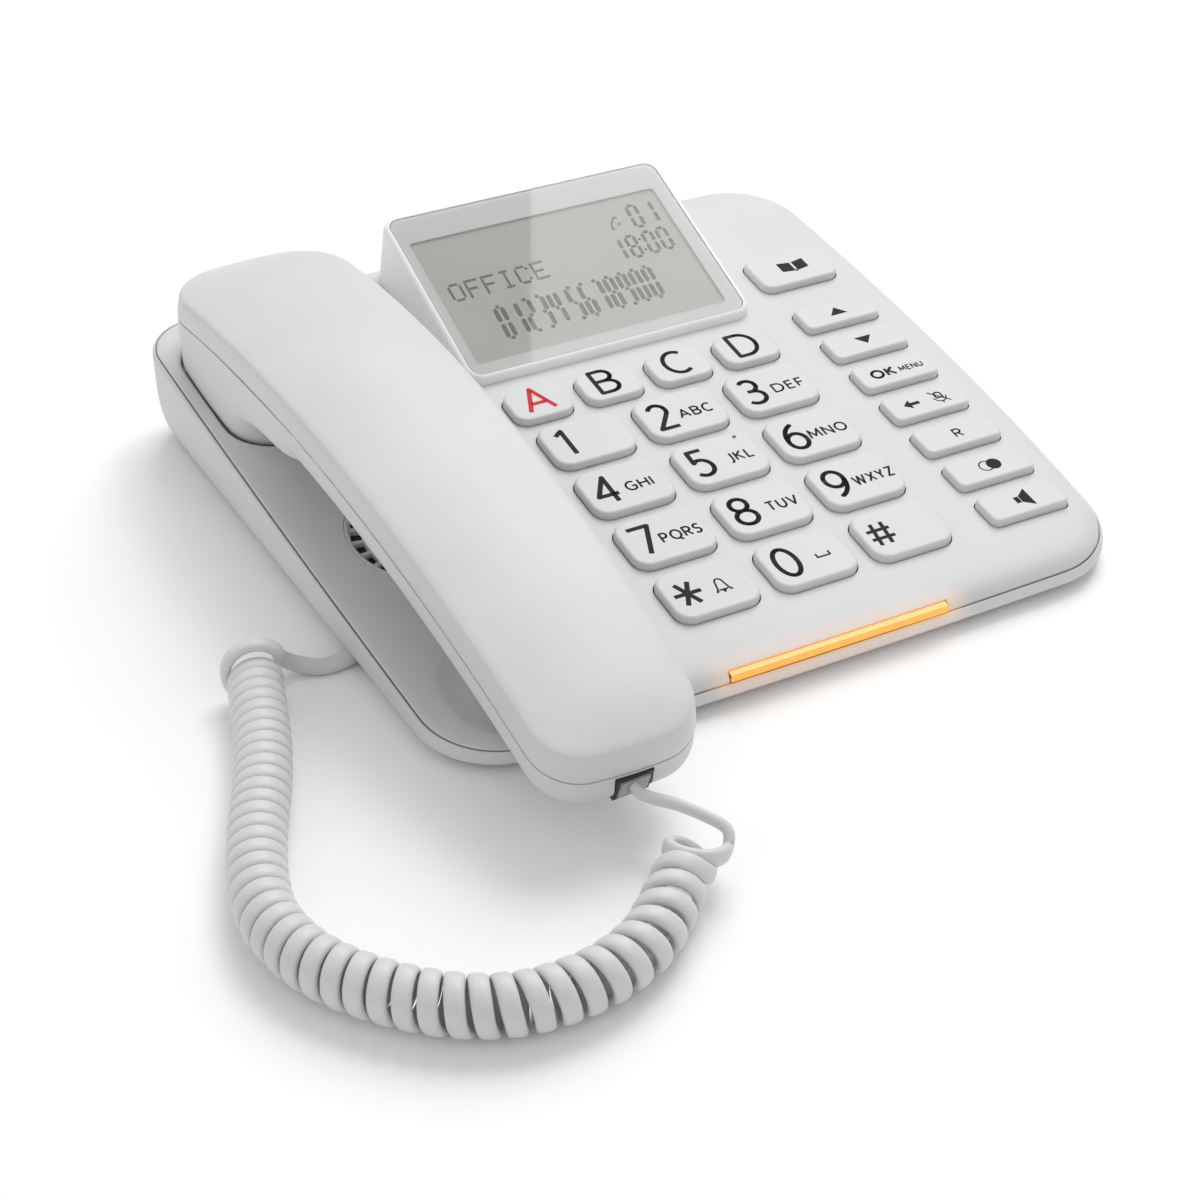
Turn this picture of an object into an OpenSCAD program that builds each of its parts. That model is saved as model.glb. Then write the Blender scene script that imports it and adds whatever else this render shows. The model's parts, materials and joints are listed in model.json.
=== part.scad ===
// Corded desk telephone with large keys, a tilted display and a handset on the left.
// Z is up and the table is at z = 0. The origin is the middle of the phone's footprint.
// Most of the phone is laid out on its sloping deck: u runs right, v runs up the slope,
// w stands square to it, and all three start at the front left corner of the star key.

/* [Base] */
// Slope of the key deck, in degrees
deck_tilt = 7; // [5:0.5:9]
// Height of the deck above the table at the front edge of the lowest keys
deck_h = 12.3; // [12:0.1:16]
// Left side of the base at the front
left_front = -67.5; // [-69:0.5:-67]
// Left side of the base at the back
left_back = -76.5; // [-78:0.5:-75]
// Right side of the base
right_side = 124; // [123:0.5:128]
// Front edge of the base
front_side = -17; // [-18:0.5:-16.5]
// Back edge of the base
back_side = 172; // [170:0.5:176]
// Wall thickness of the base mouldings
wall = 2.2; // [1.8:0.1:2.4]
// Depth of the joint between the cover and the lower shell below the deck
joint_d = 4.4; // [4.2:0.1:4.8]
// Height of the rubber feet
foot_h = 1.5; // [1.2:0.1:2]

/* [Keys] */
// Distance between the columns of number keys
key_pitch_u = 28.2; // [27.5:0.1:29]
// Distance between the rows of number keys
key_pitch_v = 21.5; // [21:0.1:22]
// Width of a number key
key_w = 23.6; // [22:0.1:24]
// Depth of a number key
key_d = 17.6; // [16:0.1:18]
// Height of the keys above the deck
key_h = 2.8; // [2:0.1:3.5]
// How far a key goes down
key_travel = 1.2; // [0.8:0.1:1.3]
// Gap round each key
key_gap = 0.35; // [0.3:0.05:0.5]

/* [Display] */
// Tilt of the display against the deck, in degrees
display_tilt = 13.2; // [10:0.1:15]
// Width of the display window
window_w = 76; // [70:0.5:77]
// Height of the display window along its slope
window_d = 46.5; // [42:0.5:47]

/* [Handset] */
// Height of the handset's joint line above the deck at its middle
seam_h = 24; // [24:0.5:26]
// Radius of the handset's arch
arch_r = 410; // [380:5:450]
// Half the width of the handset at the mouthpiece
mouth_half = 20; // [19:0.5:21]
// Half the width of the handset at the earpiece
ear_half = 24.8; // [24:0.1:25]

/* [Cord] */
// Outer diameter of the curly part of the cord
coil_d = 13.5; // [12:0.1:14]
// Thickness of the straight leads
lead_d = 3.2; // [3:0.1:3.6]

/* [Hidden] */
mid_x = 25.4;
mid_y = 59.8;
white = "#e9eaec";
clear_plug = "#d9dde0";
soft_white = "#e2e3e6";
amber = "#ffb347";
dark = "#3a3d42";
steel = "#b9bdc2";
board_green = "#2f6b4f";
lcd_grey = "#b4b8ac";

// Plan of the base as corner, radius and bulge of the side that follows it, going round to the left.
function base_corners() = [
    [[left_front, front_side], 20, 0.8],
    [[right_side, front_side], 22, 2.7],
    [[right_side, back_side], 22, 0.5],
    [[left_back, back_side], 14, 0.5]
];

// A unit vector, and the turn from one direction to another.
function unit(a) = a / norm(a);
function bearing(a) = atan2(a[1], a[0]);
function turn(a, b) = let (d = bearing(b) - bearing(a)) d < 0 ? d + 360 : d;

// Corner P of a convex outline, rounded to radius r: its centre, its first arm and its arc.
function corner_reach(a, p, b, r) =
    let (half = acos(unit(a - p) * unit(b - p)) / 2) r / tan(half);
function corner_centre(a, p, b, r) =
    let (half = acos(unit(a - p) * unit(b - p)) / 2)
    p + unit(unit(a - p) + unit(b - p)) * r / sin(half);
function corner_start(a, p, b, r) = p + unit(a - p) * corner_reach(a, p, b, r);
function corner_end(a, p, b, r) = p + unit(b - p) * corner_reach(a, p, b, r);
function corner_arc(a, p, b, r, steps) =
    let (c = corner_centre(a, p, b, r))
    let (from = bearing(corner_start(a, p, b, r) - c))
    let (sweep = turn(corner_start(a, p, b, r) - c, corner_end(a, p, b, r) - c))
    [for (i = [0:steps]) c + r * [cos(from + sweep * i / steps), sin(from + sweep * i / steps)]];

// Points along the bulging side between two corners.
function side_arc(a, b, bulge, steps) =
    let (out = [unit(b - a)[1], -unit(b - a)[0]])
    [for (i = [1:steps - 1]) let (t = i / steps) a + (b - a) * t + out * bulge * 4 * t * (1 - t)];

// A closed convex outline with round corners and bulging sides, drawn in by a given inset.
function outline(corners, inset, steps, side_steps) =
    let (n = len(corners))
    let (sum = corners[0][0] + corners[1][0] + corners[2][0] + corners[3][0])
    let (mean = sum / n)
    let (moved = [for (c = corners) [for (k = [0:1]) c[0][k] + (c[0][k] < mean[k] ? inset : -inset)]])
    [for (i = [0:n - 1])
        let (a = moved[(i + n - 1) % n])
        let (p = moved[i])
        let (b = moved[(i + 1) % n])
        let (c = moved[(i + 2) % n])
        let (r = max(corners[i][1] - inset, 1))
        let (r_next = max(corners[(i + 1) % n][1] - inset, 1))
        each concat(
            corner_arc(a, p, b, r, steps),
            side_arc(corner_end(a, p, b, r), corner_start(p, b, c, r_next), corners[i][2], side_steps)
        )
    ];
function base_outline(inset) = outline(base_corners(), inset, 8, 5);

// The same outline as it falls on the table.
function ground_outline(inset) =
    [for (q = base_outline(inset)) [q[0], q[1] * cos(deck_tilt) + joint_d * sin(deck_tilt)]];

// Places children on the deck, in u, v and w.
module on_deck() {
    translate([-mid_x, -mid_y, deck_h])
        rotate([deck_tilt, 0, 0])
            children();
}

// Places children on the table, measured from the same corner as the deck.
module on_table() {
    translate([-mid_x, -mid_y, 0])
        children();
}

module round_rect(w, d, r) {
    translate([r, 0]) square([w - 2 * r, d]);
    translate([0, r]) square([w, d - 2 * r]);
    for (x = [r, w - r], y = [r, d - r]) translate([x, y]) circle(r, $fn = 32);
}

module slab(w, d, r, z0, z1) {
    translate([0, 0, z0])
        linear_extrude(z1 - z0)
            round_rect(w, d, r);
}

// ---- keys: name, corner u, corner v, width, depth, radius
abcd_w = 17.4;
abcd_d = 13.4;
abcd_pitch = 21.4;
abcd_v = 85.8;
abcd_u = -1.6;
function_u = 91.8;
function_w = 23.8;
function_d = 10.6;
function_pitch = 15.25;
function_v = 0.5;
book_v = 114;
book_d = 15.5;
number_names = [
    ["key_star", "key_0", "key_hash"],
    ["key_7", "key_8", "key_9"],
    ["key_4", "key_5", "key_6"],
    ["key_1", "key_2", "key_3"]
];
letter_names = ["key_a", "key_b", "key_c", "key_d"];
function_names = ["key_speaker", "key_redial", "key_recall", "key_back", "key_menu", "key_down", "key_up"];
KEYS = concat(
    [for (row = [0:3], col = [0:2])
        [number_names[row][col], col * key_pitch_u, row * key_pitch_v, key_w, key_d, 4.5]],
    [for (i = [0:3]) [letter_names[i], abcd_u + i * abcd_pitch, abcd_v, abcd_w, abcd_d, 4]],
    [for (i = [0:6])
        [function_names[i], function_u, function_v + i * function_pitch, function_w, function_d, 2.2]],
    [["key_book", function_u - 1, book_v, function_w + 1, book_d, 3.5]]
);
// Each key has a flange under the deck, which runs in a shallow well there.
flange = 1.2;
flange_t = 1;
well_gap = 0.4;
deck_wall = 2.2;
flange_top = -deck_wall - 0.3;
flange_bottom = flange_top - flange_t;
mat_top = flange_bottom - key_travel - 0.5;
mat_t = 1.2;
board_top = mat_top - mat_t - 0.1;
board_t = 1.6;
cap_edge = 0.6;
cap_overlap = 0.1;

// A slab with key k's plan, grown all round, between two heights.
module key_slab(k, grow, z0, z1) {
    translate([k[1] - grow, k[2] - grow, 0])
        slab(k[3] + 2 * grow, k[4] + 2 * grow, k[5] + grow, z0, z1);
}

module key_cap(k) {
    color(soft_white)
        on_deck() {
            key_slab(k, 0, flange_top, key_h - cap_edge);
            key_slab(k, -cap_edge, key_h - cap_edge - cap_overlap, key_h);
            key_slab(k, flange, flange_bottom, flange_top + 0.01);
        }
}

// ---- handset: its own frame has s along it and h up, and the middle of its arch is at s = 0
handset_u = -42.2;
handset_v = 50;
handset_turn = 2.1;
mouth_s = -98.5;
ear_s = 116;
top_h = 9;
side_h = 6;
belly_h = 8.5;
shell_t = 2;
cup_front_s = 60;
cup_floor = -6.5;
mouth_floor = -3.1;
mic_s = -55;
ear_centre_s = 84;

module in_handset() {
    on_deck()
        translate([handset_u, handset_v, 0])
            rotate([0, 0, handset_turn])
                children();
}

function handset_corners() = [
    [[-mouth_half, mouth_s], 13, 1.5],
    [[mouth_half, mouth_s], 13, 0.6],
    [[ear_half, ear_s], 16, 1.5],
    [[-ear_half, ear_s], 16, 0.6]
];
function handset_outline(inset) = outline(handset_corners(), inset, 6, 4);

// A bar bent along the handset's arch. Its section is the children, x across and y above the joint line.
arch_span = 18;
module arched() {
    translate([0, 0, seam_h - arch_r])
        rotate([0, 0, -90])
            rotate([90, 0, 0])
                rotate([0, 0, 90 - arch_span])
                    rotate_extrude(angle = 2 * arch_span, $fn = 360)
                        translate([arch_r, 0])
                            rotate(-90)
                                children();
}

// Upper half of the handset's section, drawn in by an inset.
module top_section(inset) {
    w = ear_half + 3 - inset;
    h = top_h - inset;
    s = side_h - inset;
    crown = [for (i = [0:12]) let (x = w * (1 - i / 6)) [x, s + (h - s) * (1 - pow(x / w, 2))]];
    polygon(concat([[-w, 0], [w, 0]], crown));
}

// Two screws hold the shells together: boss in the upper shell, sunk seat in the lower shell.
handset_screw_s = [-38, 46];
boss_split = 2.4;
boss_gap = 0.2;
screw_seat = 3.4;
function belly_z(s) = arch_h(s) - belly_h;

module handset_upper_shell() {
    color(white)
        in_handset()
            difference() {
                union() {
                    difference() {
                        top_form(0);
                        top_form(shell_t);
                    }
                    for (s = handset_screw_s) translate([0, s, arch_h(s) - boss_split + boss_gap])
                        cylinder(d = boss_d, h = top_h, $fn = 32);
                }
                for (s = handset_screw_s) translate([0, s, arch_h(s) - boss_split - 1])
                    cylinder(d = thread_bore, h = 7, $fn = 24);
            }
}

module top_form(inset) {
    intersection() {
        arched() translate([0, -0.5 * sign(inset)]) top_section(inset - 0.5 * sign(inset));
        linear_extrude(60) polygon(handset_outline(inset));
    }
}

// Ear cup and mouth cup, square to the deck.
module ear_cup(inset) {
    w = ear_half - 0.4 - inset;
    d = ear_s - cup_front_s - 4 - 2 * inset;
    translate([-w, cup_front_s + inset, cup_floor + inset])
        linear_extrude(30)
            round_rect(2 * w, d, 13 - inset);
}

module mouth_cup(inset) {
    hull() {
        translate([-mouth_half + 2 + inset, mouth_s + 3 + inset, 6 + inset])
            linear_extrude(4) round_rect(2 * (mouth_half - 2 - inset), 50 - 2 * inset, 11 - inset);
        translate([-11 + inset, -66 + inset, mouth_floor + inset])
            linear_extrude(1) round_rect(22 - 2 * inset, 22 - 2 * inset, 9 - inset);
    }
}

module lower_body(inset) {
    intersection() {
        arched()
            translate([-ear_half - 3 + inset, -belly_h + inset])
                square([2 * (ear_half + 3 - inset), belly_h - inset + 0.5 * sign(inset)]);
        linear_extrude(60) polygon(handset_outline(inset + 0.6));
    }
}

// Everything under the joint line's arch.
module under_arch(extra) {
    arched() translate([-40, -40]) square([80, 40 + extra]);
}

module handset_lower_shell() {
    color(white)
        in_handset()
            difference() {
                union() {
                    lower_body(0);
                    intersection() {
                        union() {
                            ear_cup(0);
                            mouth_cup(0);
                        }
                        under_arch(0);
                        linear_extrude(80, center = true) polygon(handset_outline(0.6));
                    }
                }
                difference() {
                    lower_body(shell_t);
                    for (s = handset_screw_s) translate([0, s, 0])
                        cylinder(d = 9, h = arch_h(s) - boss_split, $fn = 32);
                }
                intersection() {
                    union() {
                        ear_cup(shell_t);
                        mouth_cup(shell_t);
                    }
                    under_arch(0.5);
                    linear_extrude(80, center = true) polygon(handset_outline(0.6 + shell_t));
                }
                translate([0, ear_centre_s, cup_floor - 1]) for (i = [0:5]) rotate([0, 0, 60 * i])
                    translate([5.5, 0, 0]) cylinder(d = 2, h = 5, $fn = 24);
                for (x = [-3, 0, 3]) translate([x, mic_s, mouth_floor - 1])
                    cylinder(d = 1.6, h = 4, $fn = 24);
                for (s = handset_screw_s) translate([0, s, 0]) {
                    cylinder(d = 6, h = belly_z(s) + screw_seat, $fn = 32);
                    cylinder(d = screw_bore, h = arch_h(s), $fn = 24);
                }
                socket_notch();
            }
}

// The square socket in the mouth end, which takes the cord's plug. It leans with the arch.
socket_s = mouth_s + 1.2;
socket_u = -0.5;
socket_lean = asin(-socket_s / arch_r);
socket_h = arch_h(socket_s) - 4.6;
socket_size = [9.2, 14, 7.6];
plug_size = [7.4, 11, 5.6];
plug_out = 0.5;
function arch_h(s) = seam_h - arch_r + sqrt(arch_r * arch_r - s * s);

module in_socket() {
    translate([socket_u, socket_s, socket_h])
        rotate([socket_lean, 0, 0])
            children();
}

// A box that starts at y = 0 and is centred on the y axis.
module centred_box(size) {
    translate([-size[0] / 2, 0, -size[2] / 2]) cube(size);
}

// The notch for the socket runs out through the front and the underside.
module socket_notch() {
    in_socket()
        translate([0, -6, -5])
            centred_box([socket_size[0] + 0.3, socket_size[1] + 6.2, socket_size[2] + 10.3]);
}

module handset_socket() {
    color(dark)
        in_handset()
            in_socket()
                difference() {
                    centred_box(socket_size);
                    translate([0, -1, 0]) centred_box([plug_size[0] + 0.4, 12.5, plug_size[2] + 0.4]);
                }
}

module plug_handset() {
    color(clear_plug)
        in_handset()
            in_socket()
                translate([0, -plug_out, 0]) centred_box(plug_size);
}

module earpiece() {
    color(dark)
        in_handset()
            translate([0, ear_centre_s, cup_floor + shell_t + 0.1]) {
                cylinder(d = 30, h = 5, $fn = 64);
                translate([0, 0, 4.99]) cylinder(d = 16, h = 3, $fn = 48);
            }
}

module microphone() {
    color(steel)
        in_handset()
            translate([0, mic_s, mouth_floor + shell_t + 0.2]) cylinder(d = 9.6, h = 6, $fn = 48);
}

module handset_weight() {
    color(steel)
        in_handset()
            translate([-11, -20, 19]) cube([22, 44, 5]);
}

module handset_screws() {
    color(steel)
        in_handset()
            for (s = handset_screw_s) translate([0, s, belly_z(s) + screw_seat])
                screw(boss_split + 3);
}

// A pan-head screw with its seat at z = 0 and its thread up to h.
screw_head_h = 1.5;
module screw(h) {
    translate([0, 0, -screw_head_h - 0.02]) difference() {
        cylinder(d = 5, h = screw_head_h, $fn = 32);
        for (turn = [0, 90]) rotate([0, 0, turn]) translate([-1.5, -0.35, -1]) cube([3, 0.7, 1.8]);
    }
    translate([0, 0, -0.03]) cylinder(d = 2.1, h = h, $fn = 24);
}

// ---- base mouldings
bottom_t = 2;
tray_w = -3.6;
tray_t = 2.4;
tray_right = -15;
grille_u = -37.7;
grille_v = 63.5;
grille_r = 21.5;
pocket_gap = 0.9;
ear_pocket_floor = cup_floor - 0.8;
mouth_pocket_floor = -4.6;
mouth_pocket_s = -60;
mouth_pocket_d = 30;
mouth_pocket_half = 16;

// The cover's outer form, and the same form drawn in.
module cover_form(inset, drop) {
    hull() {
        translate([0, 0, -joint_d - drop])
            linear_extrude(0.4) polygon(base_outline(inset));
        translate([0, 0, -2.4 - drop])
            linear_extrude(0.4) polygon(base_outline(inset + 1.2));
        translate([0, 0, -0.9 - drop])
            linear_extrude(0.2) polygon(base_outline(inset + 4.5));
        translate([0, 0, -0.2 - drop])
            linear_extrude(0.2) polygon(base_outline(inset + 11));
    }
}

module ear_pocket(grow, low) {
    in_handset_plan()
        translate([-ear_half - grow, cup_front_s - grow, low])
            linear_extrude(30)
                round_rect(2 * (ear_half + grow), ear_s - cup_front_s + 2 * grow - 3, 13 + grow);
}

module mouth_pocket(grow, low) {
    in_handset_plan()
        translate([-mouth_pocket_half - grow, mouth_pocket_s - grow, low])
            linear_extrude(30)
                round_rect(2 * (mouth_pocket_half + grow), mouth_pocket_d + 2 * grow, 10 + grow);
}

module in_handset_plan() {
    translate([handset_u, handset_v, 0])
        rotate([0, 0, handset_turn])
            children();
}

module base_upper_cover() {
    color(white)
        difference() {
            union() {
                on_deck() cover_shell();
                cover_bosses();
            }
            for (p = post_places) translate([post_x(p), post_y(p), split_z(p) - 1])
                cylinder(d = thread_bore, h = 5.4, $fn = 24);
        }
}

module cover_shell() {
    difference() {
        union() {
            difference() {
                cover_form(0, 0);
                cover_form(wall, deck_wall);
                cradle_cut(0);
            }
            cradle_floor();
            translate([tray_right - 0.2, front_side + 4, tray_w - tray_t])
                cube([wall, back_side - front_side - 12, -tray_w + tray_t - 0.6]);
        }
        ear_pocket(pocket_gap, ear_pocket_floor);
        mouth_pocket(pocket_gap, mouth_pocket_floor);
        for (k = KEYS) {
            key_slab(k, key_gap, -joint_d, 1);
            key_slab(k, flange + well_gap, -joint_d, flange_top + 0.2);
        }
        translate([grille_u, grille_v, -10]) cylinder(r = grille_r + 0.2, h = 10, $fn = 96);
        translate([window_u - panel_margin, window_v - panel_margin, -10])
            cube([window_w + 2 * panel_margin, window_d + 2 * panel_margin, 12]);
        translate([light_u0 - 0.2, front_side - 5, light_w0 - 0.2])
            cube([light_u1 - light_u0 + 0.4, light_back + 7.2, light_w1 - light_w0 + 0.4]);
        translate([plunger_u, plunger_v, -20]) cylinder(d = plunger_d + 0.7, h = 20, $fn = 32);
    }
}

// The cradle's floor and its two pockets, inside the lower shell's walls.
module cradle_floor() {
    intersection() {
        union() {
            translate([-100, -40, tray_w - tray_t]) cube([100 + tray_right, 230, tray_t]);
            ear_pocket(pocket_gap + 1.8, ear_pocket_floor - 2);
            mouth_pocket(pocket_gap + 1.2, mouth_pocket_floor - 1.6);
        }
        translate([0, 0, -30]) linear_extrude(30 + tray_w) polygon(base_outline(wall + 0.3));
    }
}

// Takes away the cover over the cradle, down to a depth below the cradle's floor.
module cradle_cut(drop) {
    translate([-120, -60, tray_w - drop]) cube([120 + tray_right, 260, 20]);
}

module base_lower_shell() {
    color(white)
        difference() {
            union() {
                difference() {
                    below_joint() on_table() translate([0, 0, foot_h])
                        linear_extrude(60) polygon(ground_outline(0));
                    on_table() translate([0, 0, foot_h + bottom_t])
                        linear_extrude(60) polygon(ground_outline(wall));
                }
                screw_posts();
                translate([base_socket_x - 7, base_socket_y - 7, foot_h]) cube([22.8, 14, 8.8]);
            }
            screw_holes();
            translate([base_socket_x - 8, base_socket_y - 5.2, foot_h - 1]) cube([22.4, 10.4, 8.9]);
            translate([-110, base_socket_y - 2.6, foot_h - 1]) cube([110 + base_socket_x, 5.2, 5.6]);
            translate([line_x - 7, 100, line_z - 6]) cube([14, 40, 12]);
            for (x = [-40, 42]) on_table() translate([mid_x + x, 78, foot_h - 1]) {
                cylinder(d = 9, h = 5, $fn = 32);
                translate([-2.2, 0, 0]) cube([4.4, 11, 5]);
            }
        }
}

module below_joint() {
    intersection() {
        children();
        on_deck() translate([-200, -150, -100 - joint_d]) cube([450, 450, 100]);
    }
}

// Four screws go up through posts in the lower shell into bosses under the cover.
post_places = [[-60, 24], [120.5, 45], [-64, 98], [106, 150]];
post_d = 7.4;
boss_d = 6.4;
thread_bore = 2.3;
screw_bore = 2.8;
head_bore = 5.6;
post_split = 9;
function post_x(p) = p[0] - mid_x;
function post_y(p) = p[1] * cos(deck_tilt) + post_split * sin(deck_tilt) - mid_y;
function split_z(p) = deck_h + p[1] * sin(deck_tilt) - post_split * cos(deck_tilt);
function seat_z(p) = max(foot_h + 1.6, split_z(p) - 5);

module screw_posts() {
    intersection() {
        for (p = post_places) translate([post_x(p), post_y(p), foot_h])
            cylinder(d = post_d, h = 40, $fn = 32);
        on_deck() translate([-200, -150, -100 - post_split - 0.2]) cube([450, 450, 100]);
    }
}

module screw_holes() {
    for (p = post_places) translate([post_x(p), post_y(p), 0]) {
        cylinder(d = screw_bore, h = 60, $fn = 24);
        cylinder(d = head_bore, h = seat_z(p), $fn = 32);
    }
}

// The bosses end inside the cover's skin, or inside the cradle's floor.
module cover_bosses() {
    intersection() {
        for (p = post_places) translate([post_x(p), post_y(p), foot_h])
            cylinder(d = boss_d, h = 60, $fn = 32);
        on_deck() difference() {
            union() {
                cover_form(1, 1);
                translate([-200, -150, -post_split]) cube([450, 450, post_split - joint_d]);
            }
            cradle_cut(1);
        }
    }
}

module case_screws() {
    color(steel)
        for (p = post_places) translate([post_x(p), post_y(p), seat_z(p)])
            screw(split_z(p) - seat_z(p) + 4);
}

foot_places = [[-58, -4], [108, -4], [-64, 158], [108, 158]];
module rubber_feet() {
    color(dark)
        for (p = foot_places) translate([p[0] - mid_x, p[1] - mid_y + 2, 0])
            cylinder(d = 11, h = foot_h, $fn = 48);
}

module base_weight() {
    color(steel)
        on_table() translate([20, 108, foot_h + bottom_t]) cube([62, 34, 3]);
}

// ---- display
// The face of the housing reaches past the window by these much: left and right, front, back.
face_side = 6.1;
face_front = 6;
face_back = 11.5;
window_u = 0.2;
window_v = 112.4;
window_h = 3.7;
face_w = window_w + 2 * face_side;
face_d = window_d + face_front + face_back;
housing_t = 2;
// The housing's foot goes down past the deck to meet the cover's rounded edge, and is wider at the back.
foot_drop = 3.6;
foot_flare = 3;
foot_back = window_v + face_d - face_front - 3;

// The wedge that carries the display, and the same wedge drawn in. Its foot is wider than its face.
module housing_form(inset) {
    hull() {
        translate([window_u - face_side + inset, window_v - face_front + 0.3 + inset, -foot_drop])
            linear_extrude(0.4)
                round_rect(face_w - 2 * inset, 14, 4 - inset);
        translate([window_u - face_side - foot_flare + inset, foot_back - 17, -foot_drop])
            linear_extrude(0.4)
                round_rect(face_w + 2 * foot_flare - 2 * inset, 17.4 - inset, 7 - inset);
        on_display() translate([inset - face_side, inset - face_front, -0.4 - inset])
            slab(face_w - 2 * inset, face_d - 2 * inset, 5 - inset, 0, 0.4);
    }
}

// Places children on the display's own slope, with its lower left window corner at 0, 0.
module on_display() {
    translate([window_u, window_v, window_h])
        rotate([display_tilt, 0, 0])
            children();
}

// The panel reaches past the window, and the deck is open round it.
panel_lap = 1.5;
panel_margin = 2;
panel_h = 3.6;
panel_t = 1.6;
// The lens covers the face up to a rim of this width.
lens_rim = 1.4;
lens_t = 1.5;

module display_housing() {
    color(white)
        on_deck()
            difference() {
                housing_form(0);
                cover_form(0, 0);
                difference() {
                    housing_form(housing_t);
                    on_display() translate([-20, -20, -panel_h]) cube([130, 120, 30]);
                }
                on_display() lens_slab(0.15, -lens_t, 5);
                on_display() slab(window_w, window_d, 1, -8, 2);
            }
}

// The lens, or the recess for it with a gap all round, between two heights.
module lens_slab(gap, z0, z1) {
    translate([lens_rim - face_side - gap, lens_rim - face_front - gap, 0])
        slab(face_w - 2 * lens_rim + 2 * gap, face_d - 2 * lens_rim + 2 * gap, 3.5, z0, z1);
}

module display_lens() {
    color([0.85, 0.88, 0.88, 0.35])
        on_deck() on_display()
            lens_slab(0, -lens_t, 0);
}

module lcd_panel() {
    color(lcd_grey)
        on_deck() on_display()
            translate([-panel_lap, -panel_lap, -panel_h - panel_t])
                cube([window_w + 2 * panel_lap, window_d + 2 * panel_lap, panel_t]);
}

module display_board() {
    color(board_green)
        on_deck() on_display()
            translate([1, 3, -panel_h - panel_t - 2]) cube([window_w - 2, window_d - 4, 1.4]);
}

// ---- front light
light_u0 = 4;
light_u1 = 66;
light_w0 = -4.2;
light_w1 = -2;
light_out = 0.6;
light_back = 6.8;
module light_bar() {
    color(amber)
        on_deck()
            translate([light_u0, front_side - light_out, light_w0])
                cube([light_u1 - light_u0, light_back + light_out, light_w1 - light_w0]);
}

module light_board() {
    color(board_green)
        on_deck()
            difference() {
                translate([light_u0 + 2, front_side + light_back + 0.4, light_w0 - 0.6])
                    cube([light_u1 - light_u0 - 4, 1.4, 2.8]);
                for (u = [12:12:60]) translate([u, front_side + light_back, (light_w0 + light_w1) / 2])
                    rotate([-90, 0, 0]) cylinder(d = 1, h = 4, $fn = 16);
            }
}

// ---- loudspeaker and its grille
module speaker_grille() {
    color(white)
        on_deck()
            translate([grille_u, grille_v, tray_w - tray_t])
                difference() {
                    cylinder(r = grille_r, h = tray_t + 0.1, $fn = 96);
                    translate([0, 0, tray_t - 0.9]) difference() {
                        cylinder(r = grille_r - 1.2, h = 5, $fn = 96);
                        translate([0, 0, -1]) cylinder(r = grille_r - 4.6, h = 8, $fn = 96);
                    }
                    for (i = [0:23]) rotate([0, 0, 15 * i])
                        translate([grille_r - 4.3, -1.9, -1]) cube([2.8, 3.8, 4]);
                }
}

module loudspeaker() {
    color(dark)
        on_deck()
            translate([grille_u, grille_v, tray_w - tray_t - 0.1]) mirror([0, 0, 1]) {
                cylinder(d = 32, h = 3, $fn = 64);
                translate([0, 0, 2.99]) cylinder(d = 20, h = 3.4, $fn = 48);
            }
}

// ---- contact mats and boards under the keys
module keypad_mat() {
    color("#9aa0a6")
        on_deck()
            translate([-4.5, 0, mat_top - mat_t]) cube([89, 99.5, mat_t]);
}

module function_key_mat() {
    color("#9aa0a6")
        on_deck()
            translate([88.5, 0, mat_top - mat_t]) cube([28.5, 130, mat_t]);
}

module main_board() {
    color(board_green)
        on_deck()
            difference() {
                translate([-6, 1, board_top - board_t]) cube([123, 128, board_t]);
                for (p = board_holes) translate([p[0], p[1], board_top - board_t - 1])
                    cylinder(d = 2.6, h = board_t + 2, $fn = 24);
            }
}

board_holes = [[86.4, 20], [86.4, 70], [-2, 118], [86.4, 118]];
module board_screws() {
    color(steel)
        on_deck()
            for (p = board_holes) translate([p[0], p[1], 0]) {
                translate([0, 0, board_top - board_t - 1.7]) cylinder(d = 4.4, h = 1.6, $fn = 32);
                translate([0, 0, board_top - board_t - 0.2]) cylinder(d = 2, h = 4.4, $fn = 24);
            }
}

// ---- sockets
base_socket_x = -87;
base_socket_y = -19.2;
module base_socket() {
    color(dark)
        difference() {
            translate([base_socket_x + 3, base_socket_y - 5, foot_h + 0.2])
                cube([11.3, 10, 7.6]);
            translate([base_socket_x - 1, base_socket_y - plug_size[0] / 2 - 0.2, foot_h + 0.4])
                cube([14, plug_size[0] + 0.4, 6]);
        }
}

module plug_base() {
    color(clear_plug)
        translate([base_socket_x, base_socket_y - plug_size[0] / 2, foot_h + 0.6])
            cube([12, plug_size[0], plug_size[2]]);
}

line_x = 40;
line_y = 171.6 - mid_y;
line_z = 15;
module line_socket() {
    color(dark)
        difference() {
            translate([line_x - 6.8, line_y - 16, line_z - 5.8]) cube([13.6, 15.6, 11.6]);
            translate([line_x - 4.9, line_y - 13, line_z - 3.5]) cube([9.8, 14, 7]);
            translate([line_x - 3, line_y - 13, line_z + 3.4]) cube([6, 14, 1.6]);
        }
}

// ---- hook switch, pressed by the ear cup
plunger_u = handset_u - 3.2;
plunger_v = 134;
plunger_d = 7;
module hook_plunger() {
    color(white)
        on_deck()
            translate([plunger_u, plunger_v, 0]) {
                translate([0, 0, ear_pocket_floor - 5]) cylinder(d = plunger_d, h = 5.4, $fn = 32);
                translate([0, 0, ear_pocket_floor - 7.6]) cylinder(d = plunger_d + 3, h = 1.4, $fn = 32);
                translate([0, 0, ear_pocket_floor - 7.6]) cylinder(d = 4, h = 4, $fn = 24);
            }
}

module hook_switch() {
    color(dark)
        on_deck()
            translate([plunger_u - 5, plunger_v - 8, ear_pocket_floor - 13]) cube([10, 16, 5]);
}

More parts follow.
